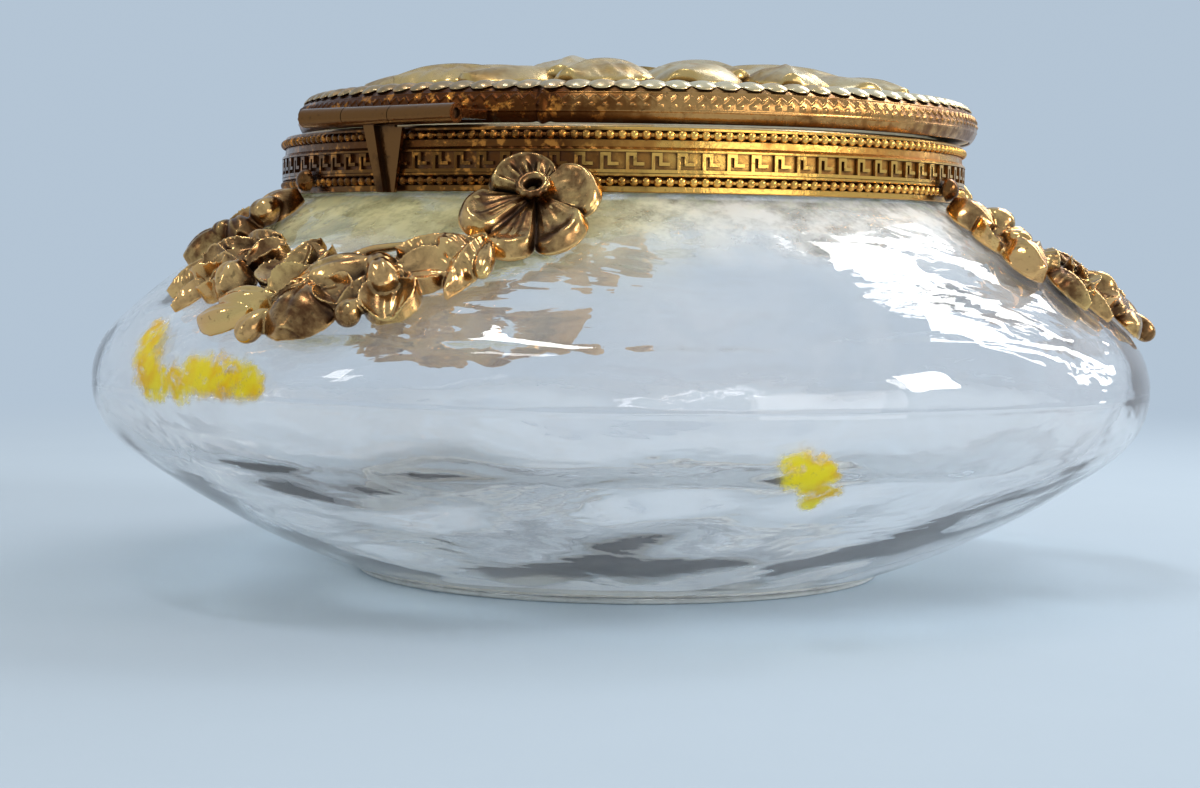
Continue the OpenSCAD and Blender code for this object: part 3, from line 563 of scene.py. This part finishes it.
def tube_form(points, radii, around=12):
    """Closed tube along points, in mm."""
    points = [Vector(p) for p in points]
    verts, faces = [], []
    up = Vector((0, 0, 1))
    for i, p in enumerate(points):
        ahead = (points[min(i + 1, len(points) - 1)] - points[max(i - 1, 0)]).normalized()
        side = ahead.cross(up).normalized()
        rise = side.cross(ahead).normalized()
        for j in range(around):
            b = 2 * math.pi * j / around
            verts.append(p + radii[i] * (math.cos(b) * side + math.sin(b) * rise))
    for i in range(len(points) - 1):
        for j in range(around):
            k = (j + 1) % around
            faces.append((i * around + j, (i + 1) * around + j, (i + 1) * around + k, i * around + k))
    faces.append(tuple(range(around)))
    faces.append(tuple(reversed([(len(points) - 1) * around + j for j in range(around)])))
    return np.array([tuple(v) for v in verts]), faces


class Heap:
    """Several forms gathered in one mesh."""

    def __init__(self):
        self.verts, self.faces, self.count = [], [], 0

    def add(self, form, matrix=None):
        verts, faces = form
        if matrix is not None:
            m = np.array(matrix)
            verts = verts @ m[:3, :3].T + m[:3, 3]
        self.verts.append(verts)
        self.faces += [tuple(i + self.count for i in f) for f in faces]
        self.count += len(verts)

    def done(self):
        return np.vstack(self.verts), self.faces


def rot(axis, degrees):
    return Matrix.Rotation(math.radians(degrees), 4, axis)


# The shoulder's length on which the garland was drawn, where it starts, and its gap above the glass, in mm
DRAWN_LONG, SWAG_START, SWAG_GAP = 36.2, 1.2, 0.12


def on_glass(turn, down, heading, lift=0.0):
    """A place on the glass: turn from the garland's middle, mm down from the collar, and a heading."""
    s = down * SHOULDER_LEN / DRAWN_LONG + SWAG_START
    p = down_point(s, SWAG_GAP + lift)
    return (rot("Z", turn) @ Matrix.Translation((p[0], 0, p[1])) @ rot("Y", 90 - down_turn(s))
            @ rot("Z", heading))


def fused(name, form, voxel, passes):
    """The forms melted into one skin, as cast metal is, and smoothed."""
    verts, faces = form
    mesh = bpy.data.meshes.new(name + "_rough")
    mesh.from_pydata((verts * MM).tolist(), [], faces)
    mesh.validate()
    rough = bpy.data.objects.new(name + "_rough", mesh)
    bpy.context.scene.collection.objects.link(rough)
    melt = rough.modifiers.new("melt", "REMESH")
    melt.mode = "VOXEL"
    melt.voxel_size = voxel * MM
    melt.use_smooth_shade = True
    soft = rough.modifiers.new("soft", "SMOOTH")
    soft.factor = 0.5
    soft.iterations = passes
    graph = bpy.context.evaluated_depsgraph_get()
    made = bpy.data.meshes.new_from_object(rough.evaluated_get(graph))
    bpy.data.objects.remove(rough)
    bpy.data.meshes.remove(mesh)
    return made


# ---------- garlands ----------

# Turn and mm down the glass of the stem's points
STEM = [(-19.6, 4), (-20, 9), (-19, 15), (-15, 22), (-9, 27.5), (-2, 30.5), (5, 30.5), (11, 27.5), (16, 22),
        (20, 17.5), (23, 14.6)]
TENDRIL = [(7, 21), (9, 18.2), (13.6, 16.8)]
# Turn, mm down, heading, kind, length, width and height of each leaf, flower and bud
GARLAND = [
    (-20.5, 6.6, -10, "petal", 8.5, 8, 3.6), (-17.6, 9.6, 20, "bud", 6, 4.8, 4.8),
    (-22.2, 12.2, -35, "cup", 8.5, 7, 3), (-11.5, 15.6, 98, "blade", 9, 4.2, 2.4),
    (-22.6, 18.6, -20, "petal", 9, 6.8, 4), (-17.4, 25.4, -22, "blade", 10, 4.8, 2.6),
    (-13.8, 28.6, -14, "blade", 9, 4.6, 2.4), (-10.6, 20.6, 205, "cup", 7, 6, 2.6),
    (-6.6, 20, 150, "cup", 7, 5.6, 2.6), (-9.6, 26.4, -62, "cup", 7.5, 7.5, 3.6),
    (0.2, 24.2, 222, "cup", 10, 8.4, 2.8), (2.6, 22.8, 180, "cup", 9.5, 6.4, 3),
    (7.2, 24.6, 118, "petal", 11.5, 8, 3.6), (-1.6, 30.9, -82, "petal", 11, 6.2, 3.8),
    (-3.4, 34.2, -75, "petal", 10, 5.6, 3.2), (6.2, 32.6, 8, "petal", 10, 12.4, 4.4),
    (2.4, 36.3, -20, "bud", 6.4, 4.4, 4.4), (11.6, 28.6, -20, "blade", 9, 6, 3),
    (12.6, 33.2, 0, "bud", 5, 4.4, 4.4), (15.8, 29, 15, "cup", 9.5, 8.6, 3.6),
    (17.4, 23.6, 100, "cup", 9, 7, 3), (12, 22.4, -150, "petal", 6, 5, 2.8),
    (17.6, 17.4, 101, "blade", 12.5, 4.8, 3), (22, 22, -8, "blade", 13, 4.8, 3),
    (24.2, 20.6, 6, "bud", 9, 3, 3),
    (-18.9, 14.4, 62, "petal", 6.5, 5.5, 3.9), (-14.6, 19.4, 128, "blade", 8, 4.2, 3.2),
    (-6.4, 27.2, 12, "petal", 7, 6, 4.6), (-13.2, 24.2, -70, "cup", 7, 5.4, 4.2),
    (3.6, 28.2, -42, "cup", 8, 6.6, 4.8), (9.4, 29.4, 62, "cup", 7, 6, 4.2),
    (13.9, 25.6, 28, "petal", 7, 6, 4.4), (19.9, 18.6, 62, "petal", 6.2, 5, 3.8),
    (-21.2, 15.6, 24, "bud", 4.6, 3.8, 4.6), (0.4, 20.4, 170, "blade", 8, 4, 2.8)]
LEAF_LIFT, STEM_LIFT = 0.3, 1.35
LOWER_ROW = 28


def stem_points(path):
    """Points along a path on the glass, eased three times."""
    points, per = [], 6
    for (a, b), (c, d) in zip(path, path[1:]):
        for i in range(per):
            k = i / per
            m = on_glass(a + (c - a) * k, b + (d - b) * k, 0, STEM_LIFT)
            points.append(m.translation.copy())
    points.append(on_glass(*path[-1], 0, STEM_LIFT).translation.copy())
    for _ in range(3):
        points = [points[0]] + [(points[i - 1] + points[i] * 2 + points[i + 1]) / 4
                                for i in range(1, len(points) - 1)] + [points[-1]]
    return points


def garland_mesh():
    heap = Heap()
    points = stem_points(STEM)
    heap.add(tube_form(points, [1.1 + 0.15 * math.sin(i * 0.9) for i in range(len(points))]))
    tendril = stem_points(TENDRIL)
    heap.add(tube_form(tendril, [0.95 - 0.03 * i for i in range(len(tendril))]))
    for turn, down, heading, kind, long, wide, high in GARLAND:
        if down < LOWER_ROW:
            wide, high = wide * 1.14, high * 1.12
        form = ball_form(long, wide, high) if kind == "bud" else leaf_form(kind, long, wide, high)
        heap.add(form, on_glass(turn, down, heading, LEAF_LIFT))
    return fused("garland", heap.done(), 0.24, 2)


# The big flower leans from the collar to the glass: its radius, thickness, cup and how far its middle is
# set off, the petals' directions, its turn from the garland's middle, and where it touches the collar
FLOWER_R, FLOWER_T, FLOWER_CUP, FLOWER_OFF = 10.8, 1.3, 1.4, 3.2
PETALS = [-15, 41.5, 120, 197, 285]
FLOWER_TURN = 27.4
COLLAR_OUT, COLLAR_LOW, LEAN_UP = 58.72, 63.5, 4.5
LEAN = np.array([COLLAR_OUT + SWAG_GAP, COLLAR_LOW + LEAN_UP])


def flower_place():
    """Middle and tilt of the flower, with its other edge on the glass."""
    low, high = 0.0, SHOULDER_LEN
    for _ in range(20):
        mid = (low + high) / 2
        if np.hypot(*(down_point(mid, SWAG_GAP) - LEAN)) < 1.9 * FLOWER_R:
            low = mid
        else:
            high = mid
    rest = down_point((low + high) / 2, SWAG_GAP)
    return (LEAN + rest) / 2, 180 - slope(rest, LEAN)


FLOWER_P, FLOWER_UP = flower_place()


def on_flower(turn):
    middle = Matrix.Translation((FLOWER_P[0], 0, FLOWER_P[1]))
    return rot("Z", turn + FLOWER_TURN) @ middle @ rot("Y", FLOWER_UP)


def flower_back(square):
    """Height of the flower's cupped back, from the square of the distance to its middle."""
    return FLOWER_CUP * (square / FLOWER_R ** 2 - 1) + 0.3


def flower_form():
    """Five broad petals, each lying a little over the next, round a middle set towards the collar."""
    spokes, rings = 300, 48
    t = np.linspace(0, 360, spokes, endpoint=False)
    which, side = np.zeros(spokes, int), np.zeros(spokes)
    for i, middle in enumerate(PETALS):
        before = (middle - PETALS[i - 1]) % 360 / 2
        after = (PETALS[(i + 1) % 5] - middle) % 360 / 2
        off = (t - middle + 180) % 360 - 180
        here = (off >= -before) & (off < after)
        which[here] = i
        side[here] = np.where(off < 0, off / before, off / after)[here]
    near = np.cos(np.pi / 2 * side)
    edge = FLOWER_R * (0.66 + 0.34 * near ** 0.42)
    k = np.linspace(0.0, 1, rings + 1)[1:][:, None]
    r = edge[None, :] * k
    rad = np.radians(t)[None, :]
    x, y = r * np.cos(rad) - FLOWER_OFF * (1 - k), r * np.sin(rad)
    back = flower_back(x * x + y * y)
    n, u = near[None, :], side[None, :]
    puff = FLOWER_T * (0.75 + np.sin(np.radians(150 * k)) * (0.35 + 0.75 * n))
    lap = 0.75 * u * np.clip(k * 3, 0, 1) * np.clip((1 - k) * 6, 0, 1)
    lip = 0.55 * np.exp(-((k - 0.84) / 0.09) ** 2) * np.sqrt(n)
    bowl_in = -0.55 * np.exp(-((k - 0.6) / 0.2) ** 2) * np.exp(-(u / 0.55) ** 2)
    roll = -1.5 * np.clip((k - 0.88) / 0.12, 0, 1) ** 2
    valley = -0.7 * np.exp(-((1 - np.abs(u)) / 0.10) ** 2) * np.clip(k * 2.2, 0, 1)
    ribs = 0.20 * np.cos(np.pi * u * 4.5) * np.clip((k - 0.2) * 3, 0, 1) * np.clip((0.92 - k) * 4, 0, 1)
    ribbed = np.array([0.22, 0.3, 0.22, 2.0, 0.45])[which][None, :]
    top = np.maximum(back + puff + lap + lip + bowl_in + roll + valley + ribs * ribbed, back + 0.25)
    upper = np.stack([x, y, top], 2).reshape(-1, 3)
    lower = np.stack([x, y, back], 2).reshape(-1, 3)
    mid_back = flower_back(FLOWER_OFF ** 2)
    verts = np.vstack([upper, lower, [[-FLOWER_OFF, 0, mid_back + 0.75], [-FLOWER_OFF, 0, mid_back]]])
    under = rings * spokes
    faces = []
    for a, b, c, d in ring_faces(rings, spokes, False):
        faces.append((a, d, c, b))
        faces.append((under + a, under + b, under + c, under + d))
    for i in range(spokes):
        q = (i + 1) % spokes
        faces.append((2 * under, i, q))
        faces.append((2 * under + 1, under + q, under + i))
        o = (rings - 1) * spokes
        faces.append((o + i, under + o + i, under + o + q, o + q))
    return verts, faces


def rivet_form():
    """Hollow boss with a ring of small ribs, open in the middle."""
    foot = flower_back(FLOWER_OFF ** 2)
    profile = np.array([[1.25, 0], [1.75, 0], [1.8, FLOWER_T + 1.0], [2.45, FLOWER_T + 1.25],
                        [2.65, FLOWER_T + 1.7], [2.45, FLOWER_T + 2.15], [2.0, FLOWER_T + 2.35],
                        [1.55, FLOWER_T + 2.2], [1.25, FLOWER_T + 1.7], [1.1, 0.9]])
    profile[:, 1] += foot
    steps, ribs = 96, 12
    t = round_turn(steps)
    weight = np.array([0, 0, 0.3, 1, 1, 0.8, 0.3, 0, 0, 0])[:, None]
    r = profile[:, 0][:, None] * (1 + 0.055 * weight * np.cos(ribs * t))
    z = profile[:, 1][:, None] + 0 * t
    verts = turned(r, z, t)
    verts[:, 0] -= FLOWER_OFF
    faces = [tuple(reversed(f)) for f in ring_faces(len(profile), steps, True)]
    floor = len(verts)
    verts = np.vstack([verts, [[-FLOWER_OFF, 0, profile[-1, 1]]]])
    row = (len(profile) - 1) * steps
    faces += [(floor, row + i, row + (i + 1) % steps) for i in range(steps)]
    return verts, faces


def garlands():
    cast = garland_mesh()
    flower_verts, flower_faces = flower_form()
    rivet_verts, rivet_faces = rivet_form()
    for name, turn in (("back", 90), ("left", 330), ("right", 210)):
        mesh = cast.copy()
        mesh.name = name + "_swag"
        mesh.transform(rot("Z", turn))
        mesh.materials.clear()
        mesh.materials.append(cast_brass)
        swag = bpy.data.objects.new(name + "_swag", mesh)
        bpy.context.scene.collection.objects.link(swag)
        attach(swag, "bowl")
        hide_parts(name + "_garland")
        for label, verts, faces, old in (("bloom", flower_verts, flower_faces, "_flower"),
                                         ("boss", rivet_verts, rivet_faces, "_rivet")):
            m = np.array(on_flower(turn))
            placed = (verts @ m[:3, :3].T + m[:3, 3]) * MM
            piece(name + "_" + label, placed, faces, "bowl", cast_brass,
                  (name + old,))


# ---------- lid ----------

# The lid's axis is set forward by LID_Y; its rim is an arc of radius RIM_BULGE between two slopes, in mm
LID_Y = -3.6
RIM_OUT, RIM_FOOT = 58.8, 73.65
RIM_BULGE, RIM_T, RIM_LOW, RIM_HIGH = 3.9, 0.7, -42, 68
RIM_C = (RIM_OUT - RIM_BULGE, RIM_FOOT - RIM_BULGE * math.sin(math.radians(RIM_LOW)))
RIM_TOP = RIM_C[1] + RIM_BULGE * math.sin(math.radians(RIM_HIGH))
RIM_TOP_R = RIM_C[0] + RIM_BULGE * math.cos(math.radians(RIM_HIGH))
PLATE_RISE, PLATE_DOWN, PLATE_GAP, PLATE_FLAT = 2.6, 0.7, 0.25, 2.2
BEZEL_Z = RIM_TOP + 0.06
PLATE_Z = RIM_TOP - PLATE_DOWN
PLATE_R = RIM_TOP_R - RIM_T - PLATE_GAP
DOME_R = PLATE_R - PLATE_FLAT
DOME_BALL = (DOME_R ** 2 + PLATE_RISE ** 2) / (2 * PLATE_RISE)
WREATH_UP = 0.76


def dome_z(r):
    """Height of the lid's plate at radius r."""
    return PLATE_Z + PLATE_RISE - DOME_BALL + math.sqrt(DOME_BALL ** 2 - r * r)


def rim():
    """Rolled rim with a stamped zigzag line, a row of small ticks and an upright solder seam."""
    steps, waves = 2160, 180
    seam_turn, seam_r = math.radians(114.5), 59
    a = np.linspace(RIM_LOW, RIM_HIGH, 60)[:, None]
    inside = np.radians(np.linspace(RIM_HIGH, RIM_LOW, 10))[:, None]
    t = round_turn(steps)
    zig = 2 / math.pi * np.arcsin(np.sin(waves * t))
    line = np.exp(-((a - (24 + 7 * zig)) / 3.0) ** 2)
    tick = np.exp(-((a - 6) / 4) ** 2) * np.clip(np.cos(waves * t) * 1.6, 0, 1)
    lower = np.exp(-((a + 9) / 2.4) ** 2)
    upper = np.exp(-((a - 41) / 2.6) ** 2)
    off = ((t - seam_turn + math.pi) % (2 * math.pi) - math.pi) * seam_r
    seam = np.exp(-(off / 0.55) ** 2)
    groove = np.exp(-((off - 1.1) / 0.45) ** 2) + np.exp(-((off + 1.1) / 0.45) ** 2)
    dents = 0.07 * np.sin(7 * t + 0.05 * a) + 0.05 * np.sin(17 * t + 1) * np.cos(a / 30)
    lift = (0.24 * line + 0.20 * tick + 0.12 * lower + 0.10 * upper + 0.34 * seam - 0.22 * groove
            + dents - 0.38)
    outer, inner = RIM_BULGE + lift, RIM_BULGE - RIM_T + 0 * t
    r = RIM_C[0] + np.vstack([outer * np.cos(np.radians(a)), inner * np.cos(inside)])
    z = RIM_C[1] + np.vstack([outer * np.sin(np.radians(a)), inner * np.sin(inside)])
    piece("rolled_rim", turned(r, z, t, LID_Y) * MM, ring_faces(len(r), steps, True), "lid", rim_brass,
          ("lid_rim",))


def bezel():
    """Scalloped edge folded over the plate, each scallop a little domed."""
    scallops, steps, rows = 92, 1472, 14
    t = round_turn(steps)
    fold = np.abs(np.sin(t * scallops / 2))
    inner = RIM_TOP_R - 2 - 1.6 * fold
    k = np.linspace(0, 1, rows)[:, None]
    start = 47 + 20 * (1 - fold) ** 1.5
    a = np.radians(start + (86 - start) * np.clip(k / 0.55, 0, 1))
    puffed = fold ** 0.7 * np.sin(np.pi * np.clip(0.06 + 0.86 * k, 0, 1)) ** 0.6
    ra = RIM_BULGE - 0.20 + 0.66 * puffed
    over_r, over_z = RIM_C[0] + ra * np.cos(a), RIM_C[1] + ra * np.sin(a)
    flat = np.clip((k - 0.55) / 0.45, 0, 1)
    r = over_r * (1 - flat) + inner * flat
    top = over_z * (1 - flat) + (BEZEL_Z + 0.25) * flat + 0.25 * np.sin(np.pi * flat)
    top = np.minimum(top, BEZEL_Z + 0.88)
    thin = 0.09 * (1 - flat) + 0.2 * flat
    verts = np.vstack([turned(r, top, t, LID_Y), turned(r - thin * np.cos(a), top - thin, t, LID_Y)])
    under, last = rows * steps, (rows - 1) * steps
    faces = ring_faces(rows, steps, False)
    faces += [(under + a, under + d, under + c, under + b) for a, b, c, d in faces]
    for i in range(steps):
        q = (i + 1) % steps
        faces.append((q, i, under + i, under + q))
        faces.append((last + i, last + q, under + last + q, under + last + i))
    piece("scalloped_bezel", verts * MM, faces, "lid", bright_brass, ("lid_bezel",))


def on_dome(turn, out, heading):
    """A place on the lid's plate: turn round its middle, mm out from it, and a heading."""
    tilt = math.degrees(math.asin(out / DOME_BALL))
    return (Matrix.Translation((0, LID_Y, 0)) @ rot("Z", turn)
            @ Matrix.Translation((out, 0, dome_z(out) + WREATH_UP)) @ rot("Y", tilt) @ rot("Z", heading))


def relief():
    """The stamped wreath: a flower in the middle, eight broad leaves round it, sixteen small at the edge."""
    heap = Heap()
    for i in range(5):
        heap.add(leaf_form("cup", 17, 14.5, 3.5, 26, 24), on_dome(72 * i + 20, 9.8, 0))
    heap.add(ball_form(6, 5, 4.4), on_dome(0, 0, 7))
    for i in range(8):
        wide, high = (17.5, 3.9) if i % 2 else (19.5, 4.3)
        heap.add(leaf_form("broad", 26, wide, high, 40, 26), on_dome(45 * i + 14.8, 25.2, 14))
    for i in range(16):
        heap.add(leaf_form("broad" if i % 2 else "petal", 19, 14.2, 3.6 if i % 4 else 3.1, 30, 22),
                 on_dome(22.5 * i + 8.8, 38.4, -33))
    verts, faces = heap.done()
    piece("lid_wreath", verts * MM, faces, "lid", relief_brass, ("lid_relief",))


# ---------- stage and light ----------

def lay_floor():
    """Pale cloth near the box, which turns into the plain background further out."""
    s = Shader("pale_floor")
    far = s.node("ShaderNodeVectorMath", operation="LENGTH")
    s.put(s.coords, far.inputs[0])
    cloth = s.plain("ShaderNodeBsdfDiffuse", s.mix(s.noise(35, 4), *FLOOR_GREYS))
    glow = s.plain("ShaderNodeEmission", BACKGROUND)
    glow.inputs["Strength"].default_value = 1.0
    look = s.mix_shader(s.span(far.outputs["Value"], 0.16, 0.5), cloth.outputs[0], glow.outputs[0])
    size, below = 6.0, 0.06 * MM
    mesh = bpy.data.meshes.new("floor")
    corners = [(-size, -size, 0), (size, -size, 0), (size, size, 0), (-size, size, 0)]
    mesh.from_pydata(corners, [], [(0, 1, 2, 3)])
    mesh.materials.append(s.finish(look))
    floor = bpy.data.objects.new("floor", mesh)
    floor.location.z = -below
    bpy.context.scene.collection.objects.link(floor)


def hang_sky():
    """The plain background for what is seen, mirrored or seen through, and a soft room for the rest."""
    world = bpy.data.worlds.new("sky")
    bpy.context.scene.world = world
    world.use_nodes = True
    tree = world.node_tree
    make, join = tree.nodes.new, tree.links.new
    path = make("ShaderNodeLightPath")
    seen = path.outputs["Is Camera Ray"]
    for kind in ("Is Glossy Ray", "Is Transmission Ray"):
        either = make("ShaderNodeMath")
        either.operation = "MAXIMUM"
        join(seen, either.inputs[0])
        join(path.outputs[kind], either.inputs[1])
        seen = either.outputs[0]
    split = make("ShaderNodeSeparateXYZ")
    join(make("ShaderNodeTexCoord").outputs["Generated"], split.inputs[0])
    rise = make("ShaderNodeMapRange")
    join(split.outputs[2], rise.inputs[0])
    for i, number in enumerate((-0.05, 0.85, 0.24, 0.78), 1):
        rise.inputs[i].default_value = number
    room = make("ShaderNodeMix")
    room.data_type = "RGBA"
    room.blend_type = "MULTIPLY"
    room.inputs[0].default_value = 1.0
    join(rise.outputs[0], room.inputs[6])
    room.inputs[7].default_value = (1.0, 0.97, 0.92, 1)
    pick = make("ShaderNodeMix")
    pick.data_type = "RGBA"
    join(seen, pick.inputs[0])
    join(room.outputs[2], pick.inputs[6])
    pick.inputs[7].default_value = BACKGROUND
    back = tree.nodes["Background"]
    join(pick.outputs[2], back.inputs["Color"])
    back.inputs["Strength"].default_value = 1.0


def around(turn, rise, far):
    """A place round the box: turn is 0 straight ahead of the camera and 90 to its right, in degrees."""
    v, a, e = math.radians(VIEW_TURN), math.radians(turn), math.radians(rise)
    right, ahead = far * math.sin(a) * math.cos(e), far * math.cos(a) * math.cos(e)
    return (right * math.cos(v) - ahead * math.sin(v), right * math.sin(v) + ahead * math.cos(v),
            MIDDLE[2] + far * math.sin(e))


def lamp(name, place, size, power, colour):
    """A soft rectangle of light at a place round the box, facing its middle."""
    data = bpy.data.lights.new(name, "AREA")
    data.shape = "RECTANGLE"
    data.size, data.size_y = size
    data.energy = power
    data.color = colour
    made = bpy.data.objects.new(name, data)
    bpy.context.scene.collection.objects.link(made)
    made.location = around(*place)
    made.rotation_euler = (Vector(MIDDLE) - made.location).to_track_quat("-Z", "Y").to_euler()


# Turn, rise, width and height of each pane of the window
PANES = ((26, 34, 0.035, 0.30), (31, 44, 0.05, 0.36), (36, 38, 0.03, 0.44), (41, 50, 0.06, 0.22),
         (46, 40, 0.035, 0.46), (51, 47, 0.03, 0.30), (56, 38, 0.055, 0.40), (62, 44, 0.03, 0.22),
         (67, 33, 0.04, 0.30), (57, 20, 0.05, 0.20), (63, 10, 0.04, 0.14))
PANE_FAR, PANE_POWER = 0.9, 26


def lights():
    for i, (turn, rise, wide, tall) in enumerate(PANES):
        lamp("pane_%d" % (i + 1), (turn, rise, PANE_FAR), (wide, tall), PANE_POWER * wide * tall,
             (1.0, 0.99, 0.97))
    lamp("side_window", (113, 24, 0.95), (0.20, 0.24), 3.0, (1.0, 0.97, 0.92))
    lamp("wall", (138, 9, 1.0), (0.55, 0.34), 1.1, (1.0, 0.97, 0.93))
    lamp("overhead", (-125, 77, 1.0), (0.34, 0.06), 1.6, (0.97, 0.98, 1.0))
    lamp("fill", (-118, 26, 1.0), (0.08, 0.16), 0.35, (1.0, 0.98, 0.95))


# ---------- assembly ----------

bowl()
garlands()
rim()
bezel()
relief()
looks = {collar_brass: ("collar_band", "lower_beading", "upper_beading", "meander_strip"),
         cement_material(): ("neck_cement",), bright_brass: ("lip_ring",), relief_brass: ("lid_plate",),
         hinge_brass: ("hinge_strap", "hinge_pin", "lid_hinge_leaf", "back_stud", "left_stud", "right_stud"),
         painted_light_backing_brass: ("lid_backing",)}
for material, names in looks.items():
    for name in names:
        node = nodes[name]
        node.data.materials.clear()
        node.data.materials.append(material)

lay_floor()
hang_sky()
lights()
bpy.context.scene.view_settings.view_transform = "Standard"

bpy.context.view_layer.update()
